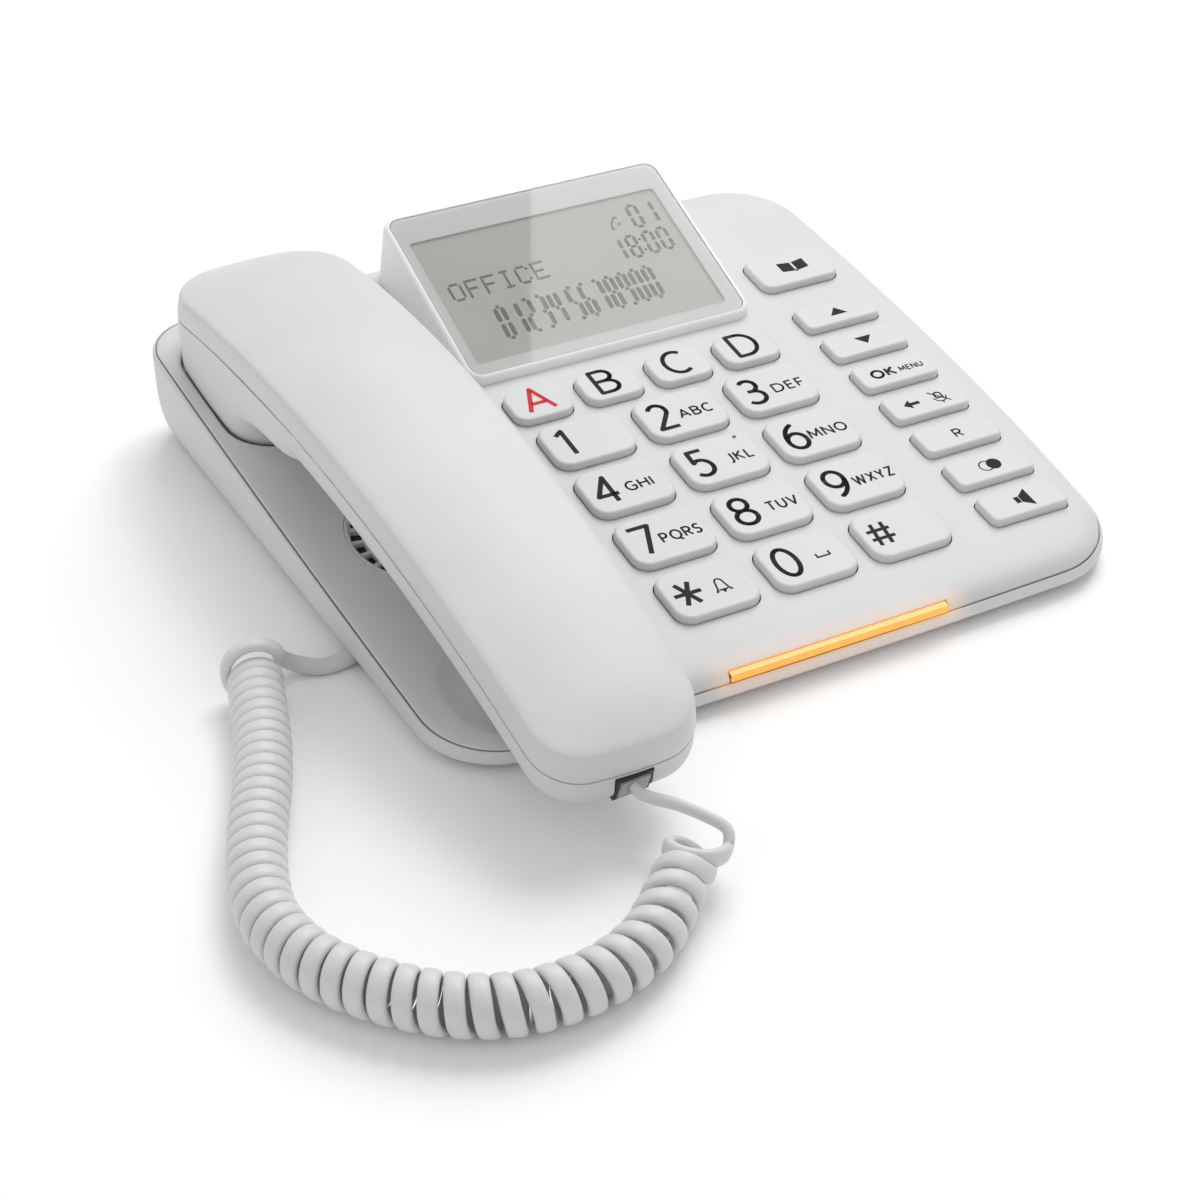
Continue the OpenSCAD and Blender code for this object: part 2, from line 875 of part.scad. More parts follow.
// ---- handset cord
// Route of the lead from the base to the coil, and of the lead from the coil to the handset.
lead_base_route = [
    [-87, -19.2, 4.6], [-92, -19.2, 4.2], [-98, -19.2, 2.8], [-103.2, -18, 1.9], [-106.7, -15, 1.8],
    [-109.7, -11.2, 1.8], [-112.7, -8.4, 2.4], [-116.2, -7.8, 4], [-119.4, -9.8, 5.8], [-121.8, -13.4, 7.4],
    [-123.8, -17, 8.6], [-125.2, -21, 8.8]
];
lead_handset_route = [
    [-64.5, -108.2, 13.9], [-64.4, -111, 12.9], [-63.2, -114.4, 12.7], [-60.8, -117.4, 12.9],
    [-57.6, -120, 13.2], [-55.2, -122.8, 12.4], [-54.4, -125.4, 10.6]
];
// Centre line of the curly part on the table.
coil_route = [
    [-120.7, -21.4], [-124.7, -35.4], [-128.7, -48.4], [-134.2, -62.4], [-140.7, -76.4], [-146.2, -91.4],
    [-148.2, -104.4], [-145.2, -118.4], [-137.2, -131.4], [-125.2, -143], [-112.2, -149], [-97.2, -149],
    [-83.2, -144.4], [-71.2, -137.4], [-61.2, -130], [-54.7, -124.7]
];

// A tube swept along a list of points, closed at both ends.
function path_dir(p, i) = unit(p[min(i + 1, len(p) - 1)] - p[max(i - 1, 0)]);
function ring_frame(d) =
    let (side = unit(cross(d, abs(d[2]) > 0.9 ? [1, 0, 0] : [0, 0, 1])))
    [side, cross(side, d)];
function ring(p, i, r, sides) =
    let (f = ring_frame(path_dir(p, i)))
    [for (k = [0:sides - 1]) p[i] + r * (cos(360 * k / sides) * f[0] + sin(360 * k / sides) * f[1])];
module tube(p, r, sides) {
    n = len(p);
    points = [for (i = [0:n - 1]) each ring(p, i, r, sides)];
    start_face = [[for (k = [0:sides - 1]) k]];
    end_face = [[for (k = [sides - 1:-1:0]) (n - 1) * sides + k]];
    walls = [for (i = [0:n - 2], k = [0:sides - 1])
        let (a = i * sides)
        let (b = a + sides)
        let (next = (k + 1) % sides)
        [a + k, b + k, b + next, a + next]];
    polyhedron(points, concat(start_face, walls, end_face), convexity = 4);
}

// A smooth curve through the route's points.
function spline(p, i, t) =
    let (a = p[max(i - 1, 0)])
    let (b = p[i])
    let (c = p[i + 1])
    let (d = p[min(i + 2, len(p) - 1)])
    b + ((c - a) * t + (2 * a - 5 * b + 4 * c - d) * pow(t, 2) + (3 * b - a - 3 * c + d) * pow(t, 3)) / 2;
function smooth(p, steps) = concat(
    [for (i = [0:len(p) - 2], k = [0:steps - 1]) spline(p, i, k / steps)],
    [p[len(p) - 1]]
);

module lead_base() {
    color(white) tube(smooth(lead_base_route, 2), lead_d / 2, 8);
}

module cord_coil() {
    centre = [for (q = coil_route) [q[0], q[1], coil_d / 2 + 0.2]];
    color(white) tube(smooth(centre, 2), coil_d / 2, 12);
}

module lead_handset() {
    color(white) tube(smooth(lead_handset_route, 2), lead_d / 2, 8);
}

base_lower_shell();
base_upper_cover();
display_housing();
display_lens();
lcd_panel();
display_board();
light_bar();
light_board();
speaker_grille();
loudspeaker();
keypad_mat();
function_key_mat();
main_board();
base_socket();
line_socket();
rubber_feet();
case_screws();
board_screws();
hook_switch();
hook_plunger();
base_weight();
for (k = KEYS)
    key_cap(k);
handset_upper_shell();
handset_lower_shell();
earpiece();
microphone();
handset_weight();
handset_socket();
handset_screws();
lead_base();
cord_coil();
lead_handset();
plug_base();
plug_handset();
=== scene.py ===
"""Corded desk telephone with large keys, a tilted display and a handset on the left.

Shapes are written in millimetres in one of four places: the table (the row frame), the deck (u right,
v up the slope, w square to it), the display's face, or the handset (x across, s along, h up). A matrix
takes each to the row frame in metres.
"""

import json
import math

import bmesh
import bpy
from mathutils import Matrix, Vector


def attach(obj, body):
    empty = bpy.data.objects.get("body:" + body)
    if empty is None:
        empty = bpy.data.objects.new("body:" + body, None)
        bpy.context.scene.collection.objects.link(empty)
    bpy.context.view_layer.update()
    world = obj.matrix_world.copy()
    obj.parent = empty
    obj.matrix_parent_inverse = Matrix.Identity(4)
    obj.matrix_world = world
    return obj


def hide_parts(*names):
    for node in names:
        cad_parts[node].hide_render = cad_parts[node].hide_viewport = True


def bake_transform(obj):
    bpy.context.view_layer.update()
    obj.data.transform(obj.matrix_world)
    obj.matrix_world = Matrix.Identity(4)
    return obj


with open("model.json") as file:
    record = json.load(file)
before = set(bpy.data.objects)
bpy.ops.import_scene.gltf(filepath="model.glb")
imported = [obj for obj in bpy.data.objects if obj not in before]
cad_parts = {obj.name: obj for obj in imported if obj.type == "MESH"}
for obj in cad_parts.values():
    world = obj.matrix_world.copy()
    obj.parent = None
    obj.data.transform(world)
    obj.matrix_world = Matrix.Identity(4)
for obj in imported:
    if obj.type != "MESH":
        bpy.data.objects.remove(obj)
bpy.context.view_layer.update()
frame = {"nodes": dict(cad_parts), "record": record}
nodes = frame["nodes"]

# ---------------------------------------------------------------- places
MM = Matrix.Scale(0.001, 4)
MID_X, MID_Y, DECK_H = 25.4, 59.8, 12.3
DECK_TILT, DISPLAY_TILT = math.radians(7), math.radians(13.2)
WINDOW_U, WINDOW_V, WINDOW_H = 0.2, 112.4, 3.7
WINDOW_W, WINDOW_D = 76.0, 46.5

TABLE = MM
# Lays a shape drawn in x, y along z down: its x goes to y, its y to z and its z to x.
SIDEWAYS = Matrix(((0, 0, 1, 0), (1, 0, 0, 0), (0, 1, 0, 0), (0, 0, 0, 1)))
DECK_MM = Matrix.Translation((-MID_X, -MID_Y, DECK_H)) @ Matrix.Rotation(DECK_TILT, 4, "X")
DECK = MM @ DECK_MM
DISPLAY_ON_DECK = Matrix.Translation((WINDOW_U, WINDOW_V, WINDOW_H)) @ Matrix.Rotation(DISPLAY_TILT, 4, "X")
DISPLAY = DECK @ DISPLAY_ON_DECK
HANDSET_ON_DECK = Matrix.Translation((-42.2, 50, 0)) @ Matrix.Rotation(math.radians(2.1), 4, "Z")
HANDSET = DECK @ HANDSET_ON_DECK
# The front light on the deck: from u0 to u1, from its front to its back, and from its underside to its top.
LIGHT_U0, LIGHT_U1 = 4, 66
LIGHT_FRONT, LIGHT_BACK = -17.7, -10.5
LIGHT_BOTTOM, LIGHT_TOP = -4.2, -2.0


# ---------------------------------------------------------------- outlines
def arc(centre, start, end, steps):
    """Points from start to end, counter-clockwise round centre."""
    a0 = math.atan2(start[1] - centre[1], start[0] - centre[0])
    sweep = (math.atan2(end[1] - centre[1], end[0] - centre[0]) - a0) % (2 * math.pi)
    r = (start - centre).length
    angles = [a0 + sweep * i / steps for i in range(steps + 1)]
    return [centre + r * Vector((math.cos(a), math.sin(a))) for a in angles]


def outline(corners, inset=0.0, arc_steps=8, side_steps=6):
    """Points of a convex outline of (corner, radius, bulge of the next side), drawn in by inset."""
    mean = sum((Vector(c[0]) for c in corners), Vector((0, 0))) / len(corners)
    moved = [Vector([x + (inset if x < m else -inset) for x, m in zip(c[0], mean)]) for c in corners]
    n = len(corners)
    rounded = []
    for i, (_, radius, bulge) in enumerate(corners):
        p = moved[i]
        back = (moved[i - 1] - p).normalized()
        ahead = (moved[(i + 1) % n] - p).normalized()
        half = back.angle(ahead) / 2
        r = max(radius - inset, 0.6)
        centre = p + (back + ahead).normalized() * r / math.sin(half)
        reach = r / math.tan(half)
        rounded.append((arc(centre, p + back * reach, p + ahead * reach, arc_steps), bulge))
    points = []
    for i, (corner, bulge) in enumerate(rounded):
        points += corner
        a, b = corner[-1], rounded[(i + 1) % n][0][0]
        out = Vector(((b - a)[1], -(b - a)[0])).normalized()
        for k in range(1, side_steps):
            t = k / side_steps
            points.append(a.lerp(b, t) + out * bulge * 4 * t * (1 - t))
    return points


def rectangle(x0, y0, x1, y1):
    return [(x0, y0), (x1, y0), (x1, y1), (x0, y1)]


def box_corners(x0, y0, x1, y1, r):
    return [(p, r, 0) for p in rectangle(x0, y0, x1, y1)]


def circle(r, steps=96, x=0.0, y=0.0):
    return [
        Vector((x + r * math.cos(2 * math.pi * i / steps), y + r * math.sin(2 * math.pi * i / steps)))
        for i in range(steps)
    ]


def level(points, z):
    return [Vector((p[0], p[1], z)) for p in points]


# ---------------------------------------------------------------- meshes
SHARP = 40.0  # Edges that turn by more degrees than this stay sharp.


def loft(bm, rings, first=True, last=True):
    """Joins rings of equal length with quads and closes the ends. Returns the last face, or None."""
    rows = [[bm.verts.new(p) for p in ring] for ring in rings]
    for a, b in zip(rows, rows[1:]):
        for i in range(len(a)):
            j = (i + 1) % len(a)
            bm.faces.new((a[i], a[j], b[j], b[i]))
    if first:
        bm.faces.new(list(reversed(rows[0])))
    return bm.faces.new(rows[-1]) if last else None


def crown(bm, face, height, step):
    """Divides a face into small ones along x and y and lifts each of its points to height(x, y)."""
    region = [face]
    for axis in (0, 1):
        values = [v.co[axis] for f in region for v in f.verts]
        lo, hi = min(values), max(values)
        count = max(2, round((hi - lo) / step))
        normal = Vector((1, 0, 0)) if axis == 0 else Vector((0, 1, 0))
        for i in range(1, count):
            parts = set(region) | {e for f in region for e in f.edges} | {v for f in region for v in f.verts}
            at = normal * (lo + (hi - lo) * i / count)
            found = bmesh.ops.bisect_plane(bm, geom=list(parts), dist=1e-4, plane_co=at, plane_no=normal)
            region = [g for g in found["geom"] if isinstance(g, bmesh.types.BMFace)]
    for v in {v for f in region for v in f.verts}:
        v.co.z = height(v.co.x, v.co.y)


def to_object(name, bm, place, material, sharp=SHARP):
    """A mesh object from a bmesh, put in the row frame, with edges sharper than an angle kept sharp."""
    bmesh.ops.recalc_face_normals(bm, faces=bm.faces)
    bm.transform(place)
    mesh = bpy.data.meshes.new(name)
    bm.to_mesh(mesh)
    bm.free()
    obj = bpy.data.objects.new(name, mesh)
    bpy.context.scene.collection.objects.link(obj)
    mesh.materials.append(material)
    smooth(obj, sharp)
    return obj


def smooth(obj, sharp):
    obj.data.shade_smooth()
    obj.data.set_sharp_from_angle(angle=math.radians(sharp))


def apply_modifiers(obj):
    graph = bpy.context.evaluated_depsgraph_get()
    mesh = bpy.data.meshes.new_from_object(obj.evaluated_get(graph))
    obj.modifiers.clear()
    obj.data = mesh


def cut(obj, bm, place):
    """Cuts a bmesh, put in its place, out of an object."""
    cutter = to_object("cutter", bm, place, obj.data.materials[0])
    m = obj.modifiers.new("boolean", "BOOLEAN")
    m.operation = "DIFFERENCE"
    m.solver = "EXACT"
    m.object = cutter
    apply_modifiers(obj)
    bpy.data.objects.remove(cutter)


def join(obj, *others):
    """Adds other objects' meshes to obj without a boolean."""
    bm = bmesh.new()
    bm.from_mesh(obj.data)
    for other in others:
        bm.from_mesh(other.data)
        bpy.data.objects.remove(other)
    bm.to_mesh(obj.data)
    bm.free()


def soften(obj, width):
    """Rounds the sharp edges a little, as a moulding's are."""
    m = obj.modifiers.new("edges", "BEVEL")
    m.width = width * 0.001
    m.segments = 2
    m.limit_method = "ANGLE"
    m.angle_limit = math.radians(SHARP)
    m.use_clamp_overlap = True
    w = obj.modifiers.new("normals", "WEIGHTED_NORMAL")
    w.keep_sharp = True
    apply_modifiers(obj)


def prism(bm, points, z0, z1):
    loft(bm, [level(points, z0), level(points, z1)])


def patch(bm, points, z):
    bm.faces.new([bm.verts.new((x, y, z)) for x, y in points])


def disc(bm, x, y, r, z, steps=24):
    bm.faces.new([bm.verts.new((p.x, p.y, z)) for p in circle(r, steps, x, y)])


def stroke(bm, points, t, z, closed=False):
    """A line of constant width with round joints."""
    ps = [Vector(p) for p in points]
    if closed:
        ps.append(ps[0])
    for i, (a, b) in enumerate(zip(ps, ps[1:])):
        d = (b - a).normalized()
        n = Vector((-d.y, d.x)) * t / 2
        bm.faces.new([bm.verts.new((q.x, q.y, z)) for q in (a + n, a - n, b - n, b + n)])
    for p in ps[1:] if closed else ps[1:-1]:
        disc(bm, p.x, p.y, t / 2, z + 0.001, 12)


def ring_points(x, y, r, start=0, sweep=360, steps=28):
    out = []
    for i in range(steps + (sweep < 360)):
        a = math.radians(start + sweep * i / steps)
        out.append((x + r * math.cos(a), y + r * math.sin(a)))
    return out


def bend(x, y, rx, ry, start, end, steps=18):
    """Points along part of an ellipse, in degrees."""
    angles = [math.radians(start + (end - start) * i / steps) for i in range(steps + 1)]
    return [(x + rx * math.cos(a), y + ry * math.sin(a)) for a in angles]


def finish_piece(obj, body, slot, *replaced):
    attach(obj, body)
    if replaced:
        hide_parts(*replaced)


# ---------------------------------------------------------------- materials
WHITE = (0.66, 0.664, 0.67)
TONE_SCALE, GRAIN_SCALE = 35.0, 2600.0
GRAIN_DEPTH = 0.00003
# The warm light that the bar throws on the case: strength, colour, and how far it reaches, in metres.
GLOW = 0.35
GLOW_COLOUR = (0.62, 0.27, 0.05)
GLOW_REACH = 0.0095


def new_material(name):
    m = bpy.data.materials.new(name)
    m.use_nodes = True
    return m, m.node_tree.nodes, m.node_tree.links, m.node_tree.nodes["Principled BSDF"]


def noise(nodes_, links, scale, detail=3.0):
    coord = nodes_.new("ShaderNodeTexCoord")
    n = nodes_.new("ShaderNodeTexNoise")
    n.inputs["Scale"].default_value = scale
    n.inputs["Detail"].default_value = detail
    links.new(coord.outputs["Object"], n.inputs["Vector"])
    return n


def ramp(nodes_, links, source, low, high, start=0.3, end=0.7):
    r = nodes_.new("ShaderNodeValToRGB")
    r.color_ramp.elements[0].position = start
    r.color_ramp.elements[0].color = (*low, 1)
    r.color_ramp.elements[1].position = end
    r.color_ramp.elements[1].color = (*high, 1)
    links.new(source, r.inputs["Fac"])
    return r


def moulded(name, colour, rough, grain=0.0, vary=0.02, metallic=0.0, specular=0.32):
    """A moulded or machined surface: a slow change of tone and shine, and a fine grain in relief."""
    m, n, links, shader = new_material(name)
    slow = noise(n, links, TONE_SCALE)
    low = tuple(c * (1 - vary) for c in colour)
    high = tuple(min(1.0, c * (1 + vary)) for c in colour)
    links.new(ramp(n, links, slow.outputs["Fac"], low, high).outputs["Color"], shader.inputs["Base Color"])
    spread = n.new("ShaderNodeMapRange")
    spread.inputs["To Min"].default_value = rough * 0.92
    spread.inputs["To Max"].default_value = rough * 1.08
    links.new(slow.outputs["Fac"], spread.inputs["Value"])
    links.new(spread.outputs["Result"], shader.inputs["Roughness"])
    shader.inputs["Metallic"].default_value = metallic
    shader.inputs["Specular IOR Level"].default_value = specular
    if grain:
        fine = noise(n, links, GRAIN_SCALE, 2.0)
        bump = n.new("ShaderNodeBump")
        bump.inputs["Strength"].default_value = grain
        bump.inputs["Distance"].default_value = GRAIN_DEPTH
        links.new(fine.outputs["Fac"], bump.inputs["Height"])
        links.new(bump.outputs["Normal"], shader.inputs["Normal"])
    return m


def glowing(name, colour, strength):
    m, n, links, shader = new_material(name)
    streaks = noise(n, links, 220.0)
    low = tuple(c * 0.9 for c in colour)
    tint = ramp(n, links, streaks.outputs["Fac"], low, colour)
    links.new(tint.outputs["Color"], shader.inputs["Base Color"])
    links.new(tint.outputs["Color"], shader.inputs["Emission Color"])
    shader.inputs["Emission Strength"].default_value = strength
    shader.inputs["Roughness"].default_value = 0.35
    return m


def lit_by_bar(m):
    """Adds the front light's warm glow to a moulded material, falling off with the distance from the bar."""
    n, links = m.node_tree.nodes, m.node_tree.links
    shader = n["Principled BSDF"]
    middle = DECK @ Vector(((LIGHT_U0 + LIGHT_U1) / 2, -17.6, -2.4))
    half_length = (LIGHT_U1 - LIGHT_U0) / 2 * 0.001

    def vector_step(operation, value, source):
        step = n.new("ShaderNodeVectorMath")
        step.operation = operation
        step.inputs[1].default_value = value
        links.new(source, step.inputs[0])
        return step.outputs["Vector"]

    place = vector_step("SUBTRACT", middle, n.new("ShaderNodeTexCoord").outputs["Object"])
    place = vector_step("ABSOLUTE", (0, 0, 0), place)
    place = vector_step("SUBTRACT", (half_length, 0, 0), place)
    place = vector_step("MAXIMUM", (0, 0, 0), place)
    reach = n.new("ShaderNodeVectorMath")
    reach.operation = "LENGTH"
    links.new(place, reach.inputs[0])
    fall = n.new("ShaderNodeMapRange")
    fall.interpolation_type = "SMOOTHERSTEP"
    for socket, value in (("From Min", 0.0), ("From Max", GLOW_REACH), ("To Min", 1.0), ("To Max", 0.0)):
        fall.inputs[socket].default_value = value
    links.new(reach.outputs["Value"], fall.inputs["Value"])
    glow = ramp(n, links, fall.outputs["Result"], (0, 0, 0), GLOW_COLOUR, 0.0, 1.0)
    links.new(glow.outputs["Color"], shader.inputs["Emission Color"])
    shader.inputs["Emission Strength"].default_value = GLOW
    return m


def clear(name, tint, rough):
    """A thin clear sheet: what is behind it shows straight through, and it reflects like polished plastic."""
    m, n, links, shader = new_material(name)
    n.remove(shader)
    through = n.new("ShaderNodeBsdfTransparent")
    gloss = n.new("ShaderNodeBsdfGlossy")
    gloss.inputs["Roughness"].default_value = rough
    fresnel = n.new("ShaderNodeFresnel")
    fresnel.inputs["IOR"].default_value = 1.5
    mix = n.new("ShaderNodeMixShader")
    haze = noise(n, links, 60.0)
    low = tuple(c * 0.985 for c in tint)
    tinted = ramp(n, links, haze.outputs["Fac"], low, tint)
    links.new(tinted.outputs["Color"], through.inputs["Color"])
    links.new(fresnel.outputs["Fac"], mix.inputs["Fac"])
    links.new(through.outputs["BSDF"], mix.inputs[1])
    links.new(gloss.outputs["BSDF"], mix.inputs[2])
    links.new(mix.outputs["Shader"], n["Material Output"].inputs["Surface"])
    return m


housing_mat = lit_by_bar(moulded("housing_white", WHITE, 0.5, grain=0.35))
handset_mat = moulded("handset_white", WHITE, 0.42, grain=0.12)
key_mat = moulded("key_white", WHITE, 0.46, grain=0.1)
# The housing's white made brighter for the display housing and the frame printed under its lens: painted
# light on the tilted face.
bezel_painted_light_mat = moulded("bezel_white_painted_light", (0.92, 0.925, 0.925), 0.4)
cord_mat = moulded("cord_white", WHITE, 0.42)
ink_mat = moulded("ink_dark", (0.018, 0.017, 0.018), 0.6, specular=0.1)
red_ink_mat = moulded("ink_red", (0.68, 0.03, 0.045), 0.6, specular=0.1)
segment_mat = moulded("segment_dark", (0.012, 0.012, 0.012), 0.6, specular=0.1)
lcd_mat = moulded("lcd_grey", (0.66, 0.68, 0.585), 0.5)
amber_mat = glowing("light_amber", (0.84, 0.38, 0.07), 0.6)
lens_mat = clear("lens_clear", (0.97, 0.98, 0.975), 0.02)
dark_mat = moulded("dark_plastic", (0.03, 0.03, 0.032), 0.5, grain=0.2)
rubber_mat = moulded("rubber_dark", (0.03, 0.03, 0.03), 0.8, grain=0.4)
mat_mat = moulded("mat_grey", (0.2, 0.205, 0.215), 0.7, grain=0.2)
board_mat = moulded("board_green", (0.03, 0.14, 0.07), 0.45, vary=0.1)
steel_mat = moulded("steel", (0.55, 0.56, 0.58), 0.3, metallic=1.0, vary=0.05)
# The clear plug is given a dark grey: painted shade of the notch it sits in.
plug_painted_shade_mat = moulded("plug_clear", (0.34, 0.36, 0.38), 0.15)

SLOT_MATERIALS = {
    "housing_white": housing_mat,
    "key_white": key_mat,
    "light_amber": amber_mat,
    "lens_clear": lens_mat,
    "lcd_grey": lcd_mat,
    "board_green": board_mat,
    "steel": steel_mat,
    "dark_plastic": dark_mat,
    "rubber_dark": rubber_mat,
    "mat_grey": mat_mat,
    "hook_white": key_mat,
    "cord_white": cord_mat,
    "plug_clear": plug_painted_shade_mat,
}
for part in frame["record"]["subparts"]:
    mesh = nodes[part["node"]].data
    mesh.materials.clear()
    mesh.materials.append(SLOT_MATERIALS[part["material_slot"]])

# ---------------------------------------------------------------- camera, light and floor
CAMERA = Vector((-0.25443, -0.45423, 0.34556))
AZIMUTH, DOWN = math.radians(27.66), math.radians(35.48)
camera = bpy.data.objects.new("camera", bpy.data.cameras.new("camera"))
camera.location = CAMERA
camera.rotation_euler = (math.pi / 2 - DOWN, 0, -AZIMUTH)
camera.data.lens = 70.476
camera.data.sensor_width = 36
camera.data.clip_start = 0.01
bpy.context.scene.collection.objects.link(camera)
bpy.context.scene.camera = camera


def area_light(name, at, target, size, power):
    light = bpy.data.lights.new(name, "AREA")
    light.shape = "RECTANGLE"
    light.size, light.size_y = size
    light.energy = power
    obj = bpy.data.objects.new(name, light)
    obj.location = at
    obj.rotation_euler = (Vector(target) - Vector(at)).to_track_quat("-Z", "Y").to_euler()
    bpy.context.scene.collection.objects.link(obj)
    return obj


area_light("key", (1.9, 2.0, 3.14), (0, 0, 0.03), (2.8, 2.8), 100)
area_light("fill", (-1.8, -0.8, 1.2), (0, 0, 0), (1.2, 1.2), 3)
# A card overhead. Its left edge shows as the line between dark and light in the display's lens.
CARD = Vector((0.677, 0.431, 1.2))
card = area_light("card", CARD, (CARD.x, CARD.y, 0.0), (0.34, 0.6), 1.9)
card.rotation_euler = (0, 0, -math.atan2(0.364, 0.931))

world = bpy.data.worlds.new("studio")
bpy.context.scene.world = world
world.use_nodes = True
world.node_tree.nodes["Background"].inputs["Color"].default_value = (1, 1, 1, 1)
world.node_tree.nodes["Background"].inputs["Strength"].default_value = 0.6
bpy.context.scene.view_settings.view_transform = "Standard"

floor_mat = moulded("floor_white", (0.98, 0.98, 0.98), 0.8, vary=0.003)
bm = bmesh.new()
prism(bm, rectangle(-3000, -3000, 3000, 3000), -20, 0)
floor = to_object("floor", bm, TABLE, floor_mat)

# ---------------------------------------------------------------- handset cord
COIL_D = 13.5
CORD_W, CORD_T = 4.4, 2.5
FULL_TURNS = 44
FIRST_ANGLE, LAST_ANGLE = 150, -35
TURN_STEPS = 22
HAND = -1  # The angle of the turns falls along the coil.
COIL_Z = COIL_D / 2 + 0.2
HELIX_R = (COIL_D - CORD_T) / 2
LEAD_BASE = [
    (-87, -19.2, 4.6), (-91.5, -19.4, 3.4), (-95.5, -20, 2.0), (-99.5, -20.6, 1.75), (-104, -20, 1.75),
    (-108.6, -17.4, 2.6), (-112, -17.4, 5.4), (-114, -19.4, 9),
]
LEAD_HANDSET = [
    (-51.9, -126.9, 11.2), (-54.9, -121.8, 12.5), (-58.6, -116.7, 13.1), (-61.9, -112.8, 13.1),
    (-64, -110.2, 13.4), (-64.5, -108.2, 13.9),
]
LEAD_STEPS = 8
COIL_ROUTE = [
    (-120.7, -21.4), (-124.7, -35.4), (-128.7, -48.4), (-134.2, -62.4), (-140.7, -76.4), (-146.2, -91.4),
    (-148.2, -104.4), (-145.2, -118.4), (-137.2, -131.4), (-125.2, -143), (-112.2, -149.4), (-98.2, -150.4),
    (-87.2, -148), (-79.4, -144), (-72.4, -138), (-66.8, -132.8), (-61.8, -128.8), (-57.9, -126.9),
]
# How stretched the turns are, at fractions of the way along the coil.
STRETCH = ((0, 0.89), (0.3, 0.95), (0.55, 1.14), (0.75, 1.18), (0.9, 1.38), (1, 1.6))
# The first turn is wider by this share, over so many turns. The last one leans back and rises, over so many.
WIDER, WIDER_TURNS = 0.3, 1.2
LEAN, LEAN_RISE, LEAN_TURNS = math.radians(70), 2.6, 1.6


def spline(points, steps):
    """A smooth curve through the points."""
    ps = [Vector(p) for p in points]
    out = []
    for i in range(len(ps) - 1):
        a, b, c, d = ps[max(i - 1, 0)], ps[i], ps[i + 1], ps[min(i + 2, len(ps) - 1)]
        for k in range(steps):
            t = k / steps
            point = 2 * b + (c - a) * t
            point += (2 * a - 5 * b + 4 * c - d) * t * t
            point += (3 * b - a - 3 * c + d) * t ** 3
            out.append(0.5 * point)
    return out + [ps[-1]]


def lengths(points):
    total = [0.0]
    for a, b in zip(points, points[1:]):
        total.append(total[-1] + (b - a).length)
    return total


def resample(points, count, weigh=None):
    """Points along a line, evenly spaced, or closer together where weigh(fraction of the way) is larger."""
    total = lengths(points)
    if weigh:
        steps = [(b - a) * weigh((a + b) / 2 / total[-1]) for a, b in zip(total, total[1:])]
        total = [0.0]
        for step in steps:
            total.append(total[-1] + step)
    out, i = [], 0
    for k in range(count):
        target = total[-1] * k / (count - 1)
        while i < len(total) - 2 and total[i + 1] < target:
            i += 1
        out.append(points[i].lerp(points[i + 1], (target - total[i]) / (total[i + 1] - total[i])))
    return out


def stretch(t):
    for (t0, a), (t1, b) in zip(STRETCH, STRETCH[1:]):
        if t <= t1:
            return a + (b - a) * (t - t0) / (t1 - t0)
    return STRETCH[-1][1]


def ease(t):
    t = min(max(t, 0.0), 1.0)
    return t * t * (3 - 2 * t)


def helix():
    """The curly stretch: points round the route, and the route's direction at each."""
    sweep = 360 * FULL_TURNS + FIRST_ANGLE - LAST_ANGLE
    count = round(sweep / 360 * TURN_STEPS) + 1
    route = [Vector((*p, COIL_Z)) for p in spline(COIL_ROUTE, 12)]
    middle = resample(route, count, lambda t: 1 / stretch(t))
    points, along = [], []
    up = Vector((0, 0, 1))
    for i, m in enumerate(middle):
        d = (middle[min(i + 1, count - 1)] - middle[max(i - 1, 0)]).normalized()
        side = d.cross(up).normalized()
        wider = WIDER * (1 - ease(i / (WIDER_TURNS * TURN_STEPS)))
        back = ease(LEAN_TURNS - (count - 1 - i) / TURN_STEPS)
        lean = LEAN * back
        d = d * math.cos(lean) + up * math.sin(lean)
        rise = side.cross(d)
        a = math.radians(FIRST_ANGLE + HAND * sweep * i / (count - 1))
        centre = m + up * (wider * HELIX_R + LEAN_RISE * back)
        points.append(centre + HELIX_R * (1 + wider) * (math.cos(a) * side + math.sin(a) * rise))
        along.append(d)
    return points, along


turns, turn_dirs = helix()
# Each lead's curve is drawn one point on into the turns, and then cut off at their end.
lead_a = resample(spline(LEAD_BASE + [turns[0], turns[2]], LEAD_STEPS)[:-LEAD_STEPS], 40)
lead_b = resample(spline([turns[-3], turns[-1]] + LEAD_HANDSET, LEAD_STEPS)[LEAD_STEPS:], 26)
cord_path = lead_a[:-1] + turns + lead_b[1:]


CORD_SIDES = 14
SQUARENESS = 0.72  # 1 gives an ellipse, and less gives flatter sides.


def flat_cord(bm, path, wide, width, thick):
    """A tube of flat oval section along path. wide gives the direction of its width at each point."""
    rings = []
    for i, p in enumerate(path):
        d = (path[min(i + 1, len(path) - 1)] - path[max(i - 1, 0)]).normalized()
        across = (wide[i] - d * wide[i].dot(d)).normalized()
        out = d.cross(across)
        ring = []
        for k in range(CORD_SIDES):
            a = 2 * math.pi * k / CORD_SIDES
            c, s = math.cos(a), math.sin(a)
            ring.append(
                p
                + across * (width / 2) * math.copysign(abs(c) ** SQUARENESS, c)
                + out * (thick / 2) * math.copysign(abs(s) ** SQUARENESS, s)
            )
        rings.append(ring)
    loft(bm, rings)


def carried(path, first):
    """Width directions for a lead, carried along it from its end on the coil."""
    out = [first]
    for a, b in zip(path, path[1:]):
        d = (b - a).normalized()
        out.append((out[-1] - d * out[-1].dot(d)).normalized())
    return out


